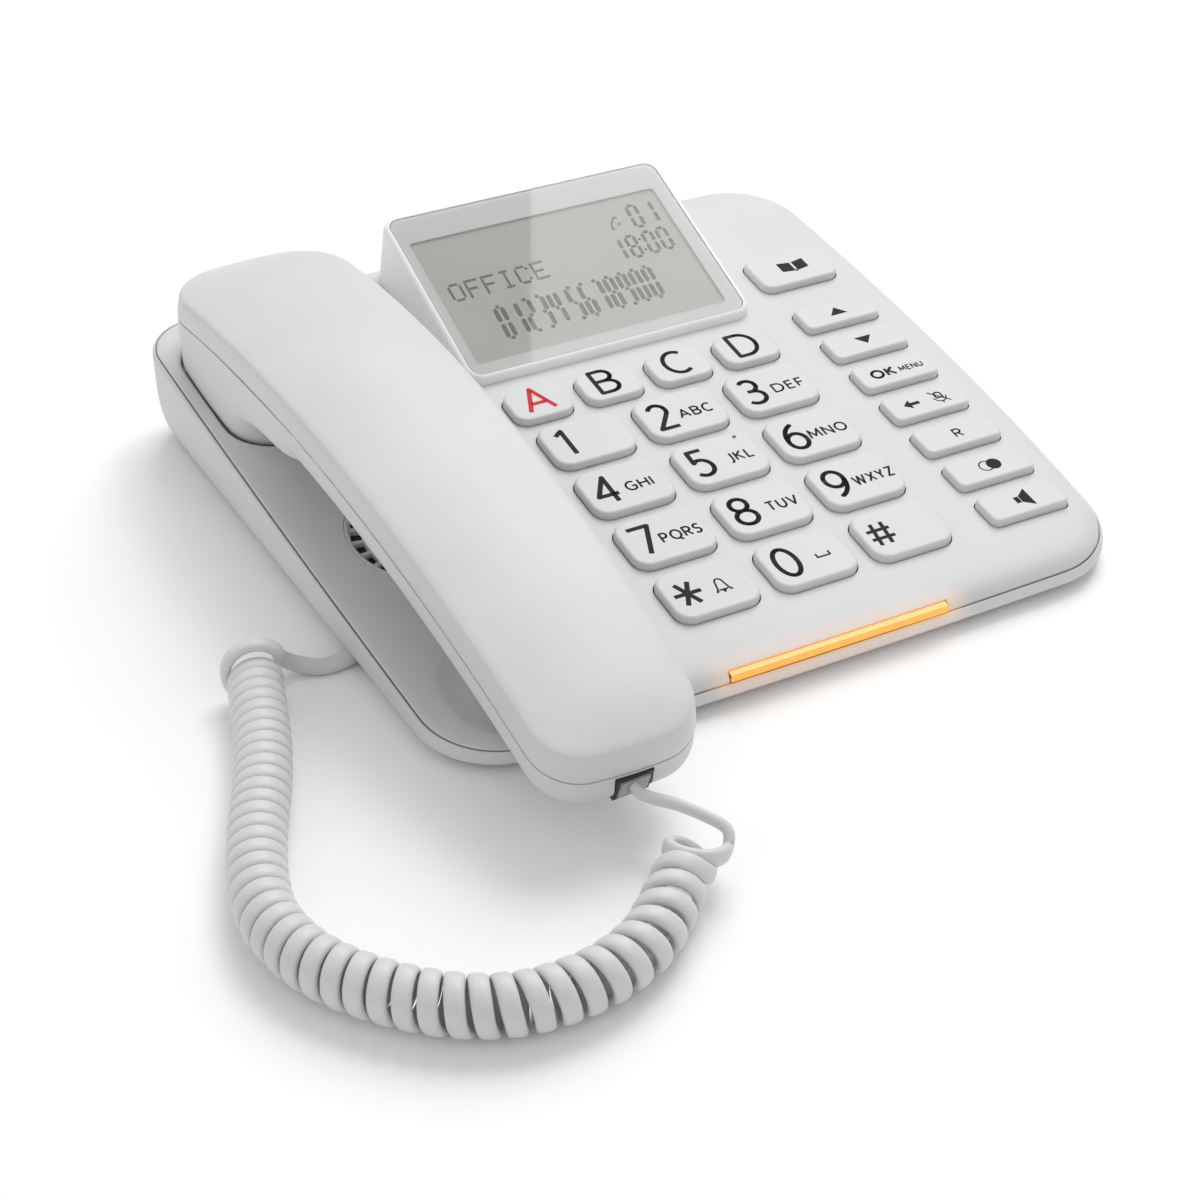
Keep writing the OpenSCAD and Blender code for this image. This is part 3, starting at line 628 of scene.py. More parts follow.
wide_a = carried(lead_a[::-1], turn_dirs[0])[:0:-1]
wide_b = carried(lead_b, turn_dirs[-1])[1:]
bm = bmesh.new()
flat_cord(bm, cord_path, wide_a + turn_dirs + wide_b, CORD_W, CORD_T)
cord = to_object("handset_cord", bm, TABLE, cord_mat, sharp=70)
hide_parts("lead_base", "cord_coil", "lead_handset")
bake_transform(cord)

# ---------------------------------------------------------------- base cover
BASE = [((-67.5, -17), 20, 0.8), ((124, -17), 22, 2.7), ((124, 172), 22, 0.5), ((-76.5, 172), 14, 0.5)]
JOINT_W = -4.4
TRAY_W = -3.6
TRAY_RIGHT = -15
KEY_GAP = 0.35
# Keys: lower left corner, width, depth and corner radius on the deck.
PITCH_U, PITCH_V = 28.2, 21.5
KEYS = {}
NUMBER_ROWS = [
    ("key_star", "key_0", "key_hash"),
    ("key_7", "key_8", "key_9"),
    ("key_4", "key_5", "key_6"),
    ("key_1", "key_2", "key_3"),
]
for row, names in enumerate(NUMBER_ROWS):
    for column, name in enumerate(names):
        KEYS[name] = (PITCH_U * column, PITCH_V * row, 23.6, 17.6, 4.5)
for i, name in enumerate(("key_a", "key_b", "key_c", "key_d")):
    KEYS[name] = (-1.6 + 21.4 * i, 85.8, 17.4, 13.4, 4)
FUNCTION_KEYS = ("key_speaker", "key_redial", "key_recall", "key_back", "key_menu", "key_down", "key_up")
for i, name in enumerate(FUNCTION_KEYS):
    KEYS[name] = (91.8, 0.5 + 15.25 * i, 23.8, 10.6, 2.2)
KEYS["key_book"] = (90.8, 114, 24.8, 15.5, 3.5)


def base_ring(inset, w):
    return level(outline(BASE, inset, 14, 14), w)


def keep_side(bm, u, keep_right):
    """Cuts a solid at u and closes it there."""
    found = bmesh.ops.bisect_plane(
        bm, geom=bm.verts[:] + bm.edges[:] + bm.faces[:], dist=1e-5, plane_co=(u, 0, 0), plane_no=(1, 0, 0),
        clear_inner=keep_right, clear_outer=not keep_right,
    )
    edges = [g for g in found["geom_cut"] if isinstance(g, bmesh.types.BMEdge)]
    bmesh.ops.holes_fill(bm, edges=edges, sides=0)


# Profiles: how far in each ring is, and how high. The edge of both covers goes down inside the shell's rim.
joint_edge = [(2.2, JOINT_W - 0.4), (0.5, JOINT_W - 0.4), (0.36, JOINT_W)]
deck_profile = [(8, -2.2), (4, -2.5), (2.4, -3.4)] + joint_edge + [
    (0.36, -4.1), (0.45, -3.6), (0.75, -2.85), (1.3, -2.2), (2.3, -1.5), (3.6, -0.98), (5.5, -0.58),
    (8, -0.28), (11.5, -0.08), (16, 0),
]
bm = bmesh.new()
loft(bm, [base_ring(inset, w) for inset, w in deck_profile])
keep_side(bm, TRAY_RIGHT, True)
cover = to_object("base_cover", bm, DECK, housing_mat)

tray_profile = [(8, -6), (3, -6)] + joint_edge + [
    (0.38, -4.2), (0.6, -4.02), (1.1, -3.87), (2.2, -3.72), (4.5, -3.63), (8, TRAY_W),
]
bm = bmesh.new()
loft(bm, [base_ring(inset, w) for inset, w in tray_profile])
keep_side(bm, TRAY_RIGHT, False)
tray = to_object("tray", bm, DECK, housing_mat)

# Key openings.
bm = bmesh.new()
for u, v, w, d, r in KEYS.values():
    g = KEY_GAP
    prism(bm, outline(box_corners(u - g, v - g, u + w + g, v + d + g, r + g), 0, 8, 1), -6, 4)
cut(cover, bm, DECK)
# Slot of the front light.
LIGHT_GAP = 0.3
bm = bmesh.new()
slot = rectangle(LIGHT_U0 - LIGHT_GAP, -30, LIGHT_U1 + LIGHT_GAP, -7)
prism(bm, slot, LIGHT_BOTTOM - 0.7, LIGHT_TOP + LIGHT_GAP)
cut(cover, bm, DECK)

# Ear pocket, mouth dish and speaker opening in the tray.
EAR_POCKET = box_corners(-25.7, 59.1, 25.7, 113.9, 13.9)
bm = bmesh.new()
opening = [(0, -9), (0, -4.4), (0.25, -3.9), (1.0, -3.55), (1.0, 4)]
loft(bm, [level(outline(EAR_POCKET, -grow, 10, 4), w) for grow, w in opening])
cut(tray, bm, HANDSET)
MOUTH_DISH = box_corners(-15, -58, 15, -34, 10)
bm = bmesh.new()
dish = [(0, -4.9), (1.2, -4.78), (2.8, -4.4), (4.4, -3.9), (5.6, -3.6), (6.2, -3.5), (6.2, 3)]
loft(bm, [level(outline(MOUTH_DISH, -grow, 10, 4), w) for grow, w in dish])
cut(tray, bm, HANDSET)
GRILLE_U, GRILLE_V, GRILLE_R = -37.7, 63.5, 21.5
GRILLE = DECK @ Matrix.Translation((GRILLE_U, GRILLE_V, 0))
bm = bmesh.new()
prism(bm, circle(GRILLE_R + 0.15), -9, 3)
cut(tray, bm, GRILLE)
bm = bmesh.new()
liner = [(1.6, -9.2), (2.0, -8.6), (2.0, -4.2), (0.0, -4.2), (0.0, -6.4), (-0.25, -7.0), (-0.9, -7.3)]
loft(bm, [level(outline(EAR_POCKET, -grow, 10, 4), w) for grow, w in liner])
pocket = to_object("pocket", bm, HANDSET, housing_mat)
PLUNGER = DECK @ Matrix.Translation((-45.4, 134, 0))
bm = bmesh.new()
prism(bm, circle(3.9, 48), -12, 0)
cut(pocket, bm, PLUNGER)
join(cover, tray, pocket)
soften(cover, 0.22)
finish_piece(cover, "base", "housing_white", "base_upper_cover")

# ---------------------------------------------------------------- speaker grille
bm = bmesh.new()
grille_profile = [
    (0.3, -3.75), (15.6, -3.75), (16.4, -3.85), (16.9, -4.3), (17.1, -4.9), (20.2, -4.9), (20.4, -4.2),
    (20.6, -3.7), (20.9, -3.5), (21.3, -3.5), (GRILLE_R, -3.7), (GRILLE_R, -6.3), (0.3, -6.3),
]
loft(bm, [level(circle(r), w) for r, w in grille_profile])
grille = to_object("speaker_ring", bm, GRILLE, housing_mat)
bm = bmesh.new()
SLITS = 24
slit = [(17.2, -1.75), (20.1, -1.9), (20.1, 1.9), (17.2, 1.75)]
for i in range(SLITS):
    turn = Matrix.Rotation(math.radians(360 / SLITS * i), 4, "Z")
    loft(bm, [[turn @ Vector((*p, z)) for p in slit] for z in (-8, 0)])
cut(grille, bm, GRILLE)
soften(grille, 0.12)
finish_piece(grille, "base", "housing_white", "speaker_grille")
# A dark disc under the grille's slots: painted shade of the hollow behind them.
bm = bmesh.new()
prism(bm, circle(GRILLE_R - 0.4), -6.9, -6.35)
slot_shade = to_object("speaker_slot_shade", bm, GRILLE, dark_mat)
finish_piece(slot_shade, "base", "dark_plastic")

# ---------------------------------------------------------------- lower shell
FOOT_H = 1.5


def shell_ring(inset, drop=None, z=None):
    """A ring on the lower shell's wall, at a drop below the joint or at a height over the table."""
    ring = []
    for p in outline(BASE, inset, 14, 14):
        q = DECK_MM @ Vector((p[0], p[1], JOINT_W))
        ring.append(Vector((q.x, q.y, q.z - drop if z is None else z)))
    return ring


shell_rings = [shell_ring(3, z=3.6), shell_ring(2.4, z=4.2)]
shell_rings += [shell_ring(i, drop=d) for i, d in (
    (2.4, 1.0), (0.2, 0.95), (0.06, 0.8), (0.0, -0.02), (-0.12, -0.14), (-0.35, -0.1), (-0.62, 0.12),
    (-0.85, 0.6), (-0.95, 1.2),
)]
# The wall's curve: how far in it is at each fraction of the way down to the feet.
WALL = ((-0.98, 0.3), (-0.9, 0.45), (-0.6, 0.6), (0.0, 0.74), (0.9, 0.86), (1.9, 0.94), (3.2, 1.0))
joint_ring = shell_ring(0, drop=1.4)
for inset, t in WALL:
    ring = shell_ring(inset, z=FOOT_H)
    for p, q in zip(ring, joint_ring):
        p.z = q.z + (FOOT_H - q.z) * t
    shell_rings.append(ring)
bm = bmesh.new()
loft(bm, shell_rings)
shell = to_object("base_shell", bm, TABLE, housing_mat)
SOCKET_X, SOCKET_Y = -87, -19.2
POSTS = [(-60, 24), (120.5, 45), (-64, 98), (106, 150)]


def cutter_box(bm, x0, x1, y0, y1, z0, z1):
    prism(bm, rectangle(x0, y0, x1, y1), z0, z1)


# Recess of the cord's socket, and the channel that its lead goes out through.
bm = bmesh.new()
cutter_box(bm, SOCKET_X - 8, SOCKET_X + 14.4, SOCKET_Y - 5.2, SOCKET_Y + 5.2, 0, 9.4)
cut(shell, bm, TABLE)
bm = bmesh.new()
channel = [(-2.7, 0), (2.7, 0), (2.7, 2.4), (1.9, 3.3), (-1.9, 3.3), (-2.7, 2.4)]
prism(bm, [(SOCKET_Y - 0.9 + y, z) for y, z in channel], -112, SOCKET_X - 4)
cut(shell, bm, TABLE @ SIDEWAYS)
# Line socket in the back wall, keyholes for hanging, and screw wells.
bm = bmesh.new()
cutter_box(bm, 33, 47, 100, 120, 9, 21)
cut(shell, bm, TABLE)
for x in (-40, 42):
    bm = bmesh.new()
    prism(bm, circle(4.5, 32, x, 18.2), 0, 5.4)
    cut(shell, bm, TABLE)
    bm = bmesh.new()
    cutter_box(bm, x - 2.2, x + 2.2, 20, 29.2, 0, 5)
    cut(shell, bm, TABLE)
bm = bmesh.new()
for u, v in POSTS:
    prism(bm, circle(2.8, 32, u - MID_X, v * math.cos(DECK_TILT) + 9 * math.sin(DECK_TILT) - MID_Y), 0, 5)
cut(shell, bm, TABLE)
soften(shell, 0.15)
finish_piece(shell, "base", "housing_white", "base_lower_shell")

# ---------------------------------------------------------------- display
FACE = box_corners(-6.1, -6, WINDOW_W + 6.1, WINDOW_D + 11.5, 5)
FOOT = [((-5.9, 106.7), 5, 0), ((82.3, 106.7), 5, 0), ((85.3, 169.4), 8, 0), ((-8.9, 169.4), 8, 0)]


def face_ring(inset, z):
    return [DISPLAY_ON_DECK @ p for p in level(outline(FACE, inset, 8, 6), z)]


def wall_ring(t):
    foot = level(outline(FOOT, 0, 8, 6), -3.6)
    return [a.lerp(b, t) for a, b in zip(foot, face_ring(0, -1.6))]


WINDOW = box_corners(-1.5, -0.3, WINDOW_W, WINDOW_D + 0.3, 1.0)
LCD_W = -1.35


def window_ring(grow, z):
    return [DISPLAY_ON_DECK @ p for p in level(outline(WINDOW, -grow, 8, 6), z)]


RIM = 1.6
rings = [wall_ring(t) for t in (0, 0.3, 0.6, 0.85, 1.0)]
rings += [face_ring(i, z) for i, z in ((0.12, -1.05), (0.4, -0.55), (0.8, -0.2), (1.2, -0.03), (RIM, 0.0))]
rings += [face_ring(RIM + 0.05, -0.5), face_ring(RIM + 0.1, -0.9)]
rings += [window_ring(1.2, -0.9), window_ring(1.2, -3.6)]
bm = bmesh.new()
loft(bm, rings, first=True, last=False)
# The display housing takes the brightened white: painted light.
housing = to_object("display_body", bm, DECK, bezel_painted_light_mat, sharp=35)
finish_piece(housing, "base", "housing_white", "display_housing")

# The lens: open underneath, with one flat face on top.
bm = bmesh.new()
lens_rings = [(RIM + 0.12, -0.42), (RIM + 0.12, -0.12), (RIM + 0.24, 0.0)]
loft(bm, [level(outline(FACE, i, 8, 6), z) for i, z in lens_rings], first=False)
lens = to_object("display_glass", bm, DISPLAY, lens_mat, sharp=5)
if lens.data.polygons[-1].normal.z < 0:
    lens.data.flip_normals()
finish_piece(lens, "base", "lens_clear", "display_lens")
# The frame printed under the lens, round the window.
bm = bmesh.new()
print_rings = [(RIM + 0.14, -0.5), (RIM + 0.14, -0.45)]
print_edge = [level(outline(FACE, i, 8, 6), z) for i, z in print_rings]
hole = outline(WINDOW, 0, 8, 6)
loft(bm, print_edge + [level(hole, -0.45), level(hole, -0.5)], first=False, last=False)
mask = to_object("display_mask", bm, DISPLAY, bezel_painted_light_mat)
finish_piece(mask, "base", "housing_white")
bm = bmesh.new()
prism(bm, rectangle(-3, -1.6, 77.4, 48), LCD_W - 0.4, LCD_W)
lcd = to_object("display_face", bm, DISPLAY, lcd_mat)
finish_piece(lcd, "base", "lcd_grey")

# ---------------------------------------------------------------- segments on the display
SEGMENT_W = LCD_W + 0.03
# The rows rise to the right, and the digits lean, by so much per millimetre.
RISE = 0.03
SLANT = 0.03
LIT = {
    "0": "abcdef", "1": "bc", "2": "abged", "3": "abgcd", "4": "fgbc", "5": "afgcd", "6": "afgcde",
    "7": "abc", "8": "abcdefg", "9": "abcdfg",
}
# Rows of dots from the top down, with one bit for each of five columns.
DOTS = {
    "O": (14, 17, 17, 17, 17, 17, 14), "F": (31, 16, 16, 30, 16, 16, 16), "I": (14, 4, 4, 4, 4, 4, 14),
    "C": (14, 17, 16, 16, 16, 17, 14), "E": (31, 16, 16, 30, 16, 16, 31),
}


def bar(bm, x0, y0, x1, y1, t):
    """One lit segment: a bar with pointed ends, leaning with the digit."""
    d = Vector((x1 - x0, y1 - y0)).normalized()
    n = Vector((-d.y, d.x)) * t / 2
    a, b = Vector((x0, y0)), Vector((x1, y1))
    tip = d * t * 0.42
    corners = [a, a + tip + n, b - tip + n, b, b - tip - n, a + tip - n]
    patch(bm, [(p.x + SLANT * p.y, p.y) for p in corners], SEGMENT_W)


def digit(bm, text, x, y, w, h, t):
    g = t * 0.2
    at = {
        "a": (0, h, w, h), "g": (0, h / 2, w, h / 2), "d": (0, 0, w, 0),
        "f": (0, h / 2, 0, h), "b": (w, h / 2, w, h), "e": (0, 0, 0, h / 2), "c": (w, 0, w, h / 2),
    }
    for key in LIT[text]:
        x0, y0, x1, y1 = at[key]
        dx, dy = (g, 0) if y0 == y1 else (0, g)
        bar(bm, x + x0 + dx, y + y0 + dy, x + x1 - dx, y + y1 - dy, t)


def dots(bm, text, x, y, cell):
    for k, letter in enumerate(text):
        for row, bits in enumerate(DOTS[letter]):
            for column in range(5):
                if bits >> (4 - column) & 1:
                    x0, y0 = x + (k * 6.2 + column) * cell * 0.86, y + (6 - row) * cell
                    x1, y1 = x0 + 0.8 * cell, y0 + 0.96 * cell
                    patch(bm, rectangle(x0, y0, x1, y1), SEGMENT_W)


bm = bmesh.new()
for group, x in (("01234", 11.2), ("5678900", 33.3)):
    for k, c in enumerate(group):
        digit(bm, c, x + 4.12 * k, 6.1, 2.15, 11.65, 1.4)
for x, c in ((64.0, "0"), (68.9, "1")):
    digit(bm, c, x, 32.4, 2.7, 8.5, 1.15)
for x, c in ((53.5, "1"), (58.5, "8"), (64.1, "0"), (68.7, "0")):
    digit(bm, c, x, 21.9, 2.7, 8.1, 1.1)
for y in (23.7, 27.9):
    disc(bm, 63.4, y, 0.5, SEGMENT_W, 8)
dots(bm, "OFFICE", 2.3, 23.0, 0.97)
# Handset sign, marked with a cross.
stroke(bm, [(57.8, 33.9), (57.9, 35.2), (58.8, 36.9), (60.2, 38.1)], 0.5, SEGMENT_W)
stroke(bm, [(57.4, 34.0), (58.5, 33.7)], 0.6, SEGMENT_W)
stroke(bm, [(59.7, 38.3), (60.7, 37.6)], 0.6, SEGMENT_W)
stroke(bm, [(59.8, 34.6), (61.0, 35.9)], 0.3, SEGMENT_W)
stroke(bm, [(59.8, 35.9), (61.0, 34.6)], 0.3, SEGMENT_W)
for v in bm.verts:
    v.co.y += RISE * v.co.x
segments = to_object("display_segments", bm, DISPLAY, segment_mat)
finish_piece(segments, "base", "lcd_grey")

# ---------------------------------------------------------------- front light
bm = bmesh.new()
prism(bm, rectangle(LIGHT_U0, LIGHT_FRONT, LIGHT_U1, LIGHT_BACK), LIGHT_BOTTOM, LIGHT_TOP)
bar_light = to_object("front_light", bm, DECK, amber_mat)
soften(bar_light, 0.2)
finish_piece(bar_light, "base", "light_amber", "light_bar")
# A dark seat that shows as a thin line round the bar.
bm = bmesh.new()
prism(bm, rectangle(3.72, -17.15, 66.28, -10.8), LIGHT_BOTTOM - 0.25, LIGHT_TOP - 0.35)
seat = to_object("light_seat", bm, DECK, dark_mat)
finish_piece(seat, "base", "dark_plastic")

# ---------------------------------------------------------------- keys
KEY_H = 2.1
key_profile = [
    (0.25, -3.6), (0, -3.4), (0, 1.1), (0.1, 1.56), (0.24, 1.8), (0.46, 1.98), (0.74, 2.07), (1.05, KEY_H),
]


def key_cap(name):
    u, v, w, d, r = KEYS[name]
    bm = bmesh.new()
    loft(bm, [level(outline(box_corners(u, v, u + w, v + d, r), i, 8, 3), z) for i, z in key_profile])
    cap = to_object(name + "_cap", bm, DECK, key_mat)
    weigh = cap.modifiers.new("normals", "WEIGHTED_NORMAL")
    weigh.keep_sharp = True
    apply_modifiers(cap)
    finish_piece(cap, name + "_body", "key_white", name)


for name in KEYS:
    key_cap(name)

# Letters beside each digit: text, x from the key's corner, and width.
LETTERS = {
    "key_2": ("ABC", 10.9, 9.6), "key_3": ("DEF", 11.8, 9.2), "key_4": ("GHI", 11.7, 7.3),
    "key_5": ("JKL", 13.6, 6.9), "key_6": ("MNO", 10.2, 11.1), "key_7": ("PQRS", 10.2, 11.0),
    "key_8": ("TUV", 12.8, 8.6), "key_9": ("WXYZ", 10.7, 11.6),
}
# Words on each key: text, x and y of the lower left corner, height, width and thickness of the strokes.
LEGENDS = {name: [(text, x, 6.3, 3.3, width, 0.62)] for name, (text, x, width) in LETTERS.items()}
for letter, width in zip("abcd", (7.4, 5.9, 6.6, 7.0)):
    LEGENDS["key_" + letter] = [(letter.upper(), 4.9, 2.9, 9.4, width, 1.3)]
LEGENDS["key_menu"] = [("OK", 4.6, 3.7, 3.1, 7.0, 0.85), ("MENU", 13.3, 4.0, 1.9, 7.2, 0.42)]
LEGENDS["key_recall"] = [("R", 11.0, 3.5, 3.1, 2.1, 0.55)]
INK_Z = KEY_H + 0.015

# Strokes of each letter in a cell of 1 by 1, and the cell's width over its height.
ROUND = [bend(0.5, 0.5, 0.5, 0.5, 0, 360, 32)]
HEAD = [(0, 0), (0, 1), (0.5, 1)] + bend(0.5, 0.735, 0.46, 0.265, 90, -90) + [(0, 0.47)]
ALPHABET = {
    "A": (0.85, [[(0, 0), (0.5, 1), (1, 0)], [(0.17, 0.33), (0.83, 0.33)]]),
    "B": (0.65, [
        [(0.5, 0.53), (0, 0.53), (0, 1), (0.5, 1)] + bend(0.5, 0.765, 0.42, 0.235, 90, -90),
        [(0, 0.53), (0, 0), (0.5, 0)] + bend(0.5, 0.265, 0.5, 0.265, -90, 90),
    ]),
    "C": (0.75, [bend(0.58, 0.5, 0.58, 0.5, 52, 308, 24)]),
    "D": (0.78, [[(0.4, 0), (0, 0), (0, 1), (0.4, 1)] + bend(0.4, 0.5, 0.6, 0.5, 90, -90, 24)]),
    "E": (0.5, [[(1, 1), (0, 1), (0, 0), (1, 0)], [(0, 0.53), (0.9, 0.53)]]),
    "F": (0.48, [[(1, 1), (0, 1), (0, 0)], [(0, 0.5), (0.9, 0.5)]]),
    "G": (0.78, [bend(0.58, 0.5, 0.58, 0.5, 52, 310, 24) + [(1, 0.16), (1, 0.48), (0.62, 0.48)]]),
    "H": (0.7, [[(0, 0), (0, 1)], [(1, 0), (1, 1)], [(0, 0.53), (1, 0.53)]]),
    "I": (0.01, [[(0, 0), (0, 1)]]),
    "J": (0.3, [[(1, 1), (1, 0.1), (0.75, -0.1), (0.1, -0.18)]]),
    "K": (0.62, [[(0, 0), (0, 1)], [(0.95, 1), (0.05, 0.5)], [(0.25, 0.6), (1, 0)]]),
    "L": (0.48, [[(0, 1), (0, 0), (1, 0)]]),
    "M": (0.95, [[(0, 0), (0.08, 1), (0.5, 0.2), (0.92, 1), (1, 0)]]),
    "N": (0.75, [[(0, 0), (0, 1), (1, 0), (1, 1)]]),
    "O": (0.9, ROUND),
    "P": (0.58, [HEAD]),
    "Q": (0.9, ROUND + [[(0.55, 0.05), (0.95, -0.22)]]),
    "R": (0.62, [HEAD, [(0.42, 0.47), (1, 0)]]),
    "S": (0.55, [bend(0.52, 0.755, 0.46, 0.245, 38, 265) + bend(0.46, 0.255, 0.5, 0.255, 85, -145)]),
    "T": (0.7, [[(0, 1), (1, 1)], [(0.5, 1), (0.5, 0)]]),
    "U": (0.7, [[(0, 1), (0, 0.4)] + bend(0.5, 0.4, 0.5, 0.4, 180, 360) + [(1, 1)]]),
    "V": (0.8, [[(0, 1), (0.5, 0), (1, 1)]]),
    "W": (1.2, [[(0, 1), (0.26, 0), (0.5, 0.95), (0.74, 0), (1, 1)]]),
    "X": (0.7, [[(0, 0), (1, 1)], [(0, 1), (1, 0)]]),
    "Y": (0.7, [[(0, 1), (0.5, 0.47), (1, 1)], [(0.5, 0.47), (0.5, 0)]]),
    "Z": (0.65, [[(0, 1), (1, 1), (0, 0), (1, 0)]]),
}
LETTER_GAP = 0.36


def letters(bm, text, x, y, height, width, t, z):
    """A word in line strokes, fitted to a width. x, y, height and width are of the strokes' middles."""
    natural = sum(ALPHABET[c][0] for c in text) + LETTER_GAP * (len(text) - 1)
    scale = width / natural
    for c in text:
        cell, lines = ALPHABET[c]
        for line in lines:
            stroke(bm, [(x + cell * scale * a, y + height * b) for a, b in line], t, z)
        x += (cell + LETTER_GAP) * scale


# Strokes of each digit in a cell of 1 by 1.
SIX = [bend(0.98, 0.33, 0.94, 0.67, 104, 180), bend(0.51, 0.31, 0.47, 0.31, 0, 360, 28)]
DIGITS = {
    "0": [bend(0.5, 0.5, 0.5, 0.5, 0, 360, 32)],
    "1": [[(0.18, 0.83), (0.56, 1), (0.56, 0)]],
    "2": [bend(0.45, 0.735, 0.43, 0.265, 155, -36) + [(0.04, 0), (0.98, 0)]],
    "3": [
        bend(0.4, 0.76, 0.42, 0.24, 140, -88), bend(0.4, 0.265, 0.5, 0.265, 88, -145),
        [(0.2, 0.53), (0.42, 0.53)],
    ],
    "4": [[(0.74, 0), (0.74, 1), (0, 0.3), (1, 0.3)]],
    "5": [[(0.86, 1), (0.16, 1), (0.14, 0.55)] + bend(0.4, 0.315, 0.5, 0.315, 100, -140)],
    "6": SIX,
    "7": [[(0, 1), (1, 1), (0.34, 0)]],
    "8": [bend(0.5, 0.765, 0.41, 0.235, 0, 360, 28), bend(0.5, 0.265, 0.49, 0.265, 0, 360, 28)],
    "9": [[(1 - x, 1 - y) for x, y in line] for line in SIX],
}
DIGIT_W, DIGIT_H, DIGIT_T = 5.7, 10.1, 1.35


def big_digit(bm, text, z):
    for line in DIGITS[text]:
        stroke(bm, [(3.3 + DIGIT_W * x, 3.8 + DIGIT_H * y) for x, y in line], DIGIT_T, z)


def icon_hash(bm, z):
    for x in (3.9, 6.9):
        stroke(bm, [(x - 0.2, 4.7), (x + 0.9, 12.9)], 1.1, z)
    for y in (7.2, 10.3):
        stroke(bm, [(2.3, y), (9.0, y)], 1.1, z + 0.001)


def icon_star(bm, z):
    for k in range(3):
        a = math.radians(60 * k)
        x, y = math.cos(a) * 3.7, math.sin(a) * 4.6
        stroke(bm, [(6.1 - x, 8.6 - y), (6.1 + x, 8.6 + y)], 1.3, z + 0.001 * k)


def icon_bell(bm, z):
    dome = bend(15.1, 9.3, 1.0, 1.2, 165, 15, 12)
    left, right = [(13.6, 6.3), (13.0, 5.9), (13.6, 6.9)], [(16.6, 6.9), (17.2, 5.9), (16.6, 6.3)]
    stroke(bm, left + dome + right, 0.5, z)
    stroke(bm, [(13.8, 6.5), (16.4, 6.5)], 0.5, z)
    patch(bm, [(14.4, 6.3), (15.1, 5.2), (15.8, 6.3)], z)


def icon_space(bm, z):
    stroke(bm, [(14.3, 8.7), (14.3, 7.3), (17.9, 7.3), (17.9, 8.7)], 0.55, z)


def icon_book(bm, z):
    x = 13.2
    for s in (-1, 1):
        patch(bm, [(x + s * 0.35, 5.3), (x + s * 4.3, 6.0), (x + s * 4.3, 10.3), (x + s * 0.35, 9.6)], z)
    stroke(bm, [(x, 4.9), (x, 6.0)], 0.5, z)


def icon_up(bm, z):
    patch(bm, [(9.2, 3.6), (14.6, 3.6), (11.9, 7.0)], z)


def icon_down(bm, z):
    patch(bm, [(9.2, 7.0), (11.9, 3.6), (14.6, 7.0)], z)


def icon_back(bm, z):
    patch(bm, [(5.0, 5.3), (7.3, 3.4), (7.3, 7.2)], z)
    patch(bm, rectangle(7.0, 4.7, 10.0, 5.9), z + 0.001)
    stroke(bm, ring_points(16.4, 6.2, 1.0, 0, 180, 10) + [(15.4, 4.9), (17.4, 4.9), (17.4, 6.2)], 0.55, z)
    stroke(bm, ring_points(16.4, 5.2, 1.9, 180, 180, 12), 0.4, z)
    stroke(bm, [(16.4, 3.3), (16.4, 2.4)], 0.4, z)
    stroke(bm, [(14.0, 8.0), (18.8, 2.8)], 0.45, z + 0.002)


def icon_redial(bm, z):
    stroke(bm, ring_points(10.9, 5.3, 1.9), 0.4, z, closed=True)
    disc(bm, 13.3, 5.3, 2.1, z + 0.002)


def icon_speaker(bm, z):
    patch(bm, rectangle(9.6, 4.2, 11.0, 6.6), z)
    patch(bm, [(11.2, 4.2), (14.2, 2.0), (14.2, 8.8), (11.2, 6.6)], z)


ICONS = {
    "key_star": [icon_star, icon_bell], "key_hash": [icon_hash], "key_0": [icon_space],
    "key_book": [icon_book], "key_up": [icon_up], "key_down": [icon_down], "key_back": [icon_back],
    "key_redial": [icon_redial], "key_speaker": [icon_speaker],
}
for name in KEYS:
    bm = bmesh.new()
    if name[4:] in DIGITS:
        big_digit(bm, name[4:], INK_Z)
    for text, x, y, height, width, t in LEGENDS.get(name, []):
        letters(bm, text, x, y, height, width, t, INK_Z)
    for icon in ICONS.get(name, []):
        icon(bm, INK_Z)
    bmesh.ops.translate(bm, verts=bm.verts, vec=(KEYS[name][0], KEYS[name][1], 0))
    ink = to_object(name + "_legend", bm, DECK, red_ink_mat if name == "key_a" else ink_mat)
    finish_piece(ink, name + "_body", "key_white")

# Raised dot on the 5 key.
bm = bmesh.new()
dot_rings = [(0.55, KEY_H - 0.2), (0.55, KEY_H + 0.08), (0.45, KEY_H + 0.22), (0.25, KEY_H + 0.3)]
loft(bm, [level(circle(r, 24, PITCH_U + 19.5, PITCH_V * 2 + 15.2), z) for r, z in dot_rings])
dot = to_object("key_5_dot", bm, DECK, mat_mat)
finish_piece(dot, "key_5_body", "key_white")

# ---------------------------------------------------------------- handset
MOUTH_S, EAR_S = -97.6, 120.4
MOUTH_HALF, EAR_HALF = 20.4, 25.4
ARCH_R, SEAM_H = 410.0, 24.0
HANDSET_PLAN = [
    ((-20.9, MOUTH_S + 1.4), 12, 0.3), ((20.1, MOUTH_S - 0.8), 13, 0.6),
    ((24.8, EAR_S), 21, 0.2), ((-26.0, EAR_S - 0.4), 21, 0.5),
]


def arch(s):
    return SEAM_H - ARCH_R + math.sqrt(ARCH_R * ARCH_R - s * s)


def half_width(s):
    return MOUTH_HALF + (EAR_HALF - MOUTH_HALF) * (s - MOUTH_S) / (EAR_S - MOUTH_S)


def top_height(x, s):
    """Height of the upper shell over the joint line: highest along the middle, lower at its edges."""
    across = max(0.0, 1 - (x / half_width(s)) ** 2)
    end = min(max(min(s - MOUTH_S, EAR_S - s), 0) / 15, 1)
    return 6.6 + 2.4 * across * (1 - (1 - end) ** 2)


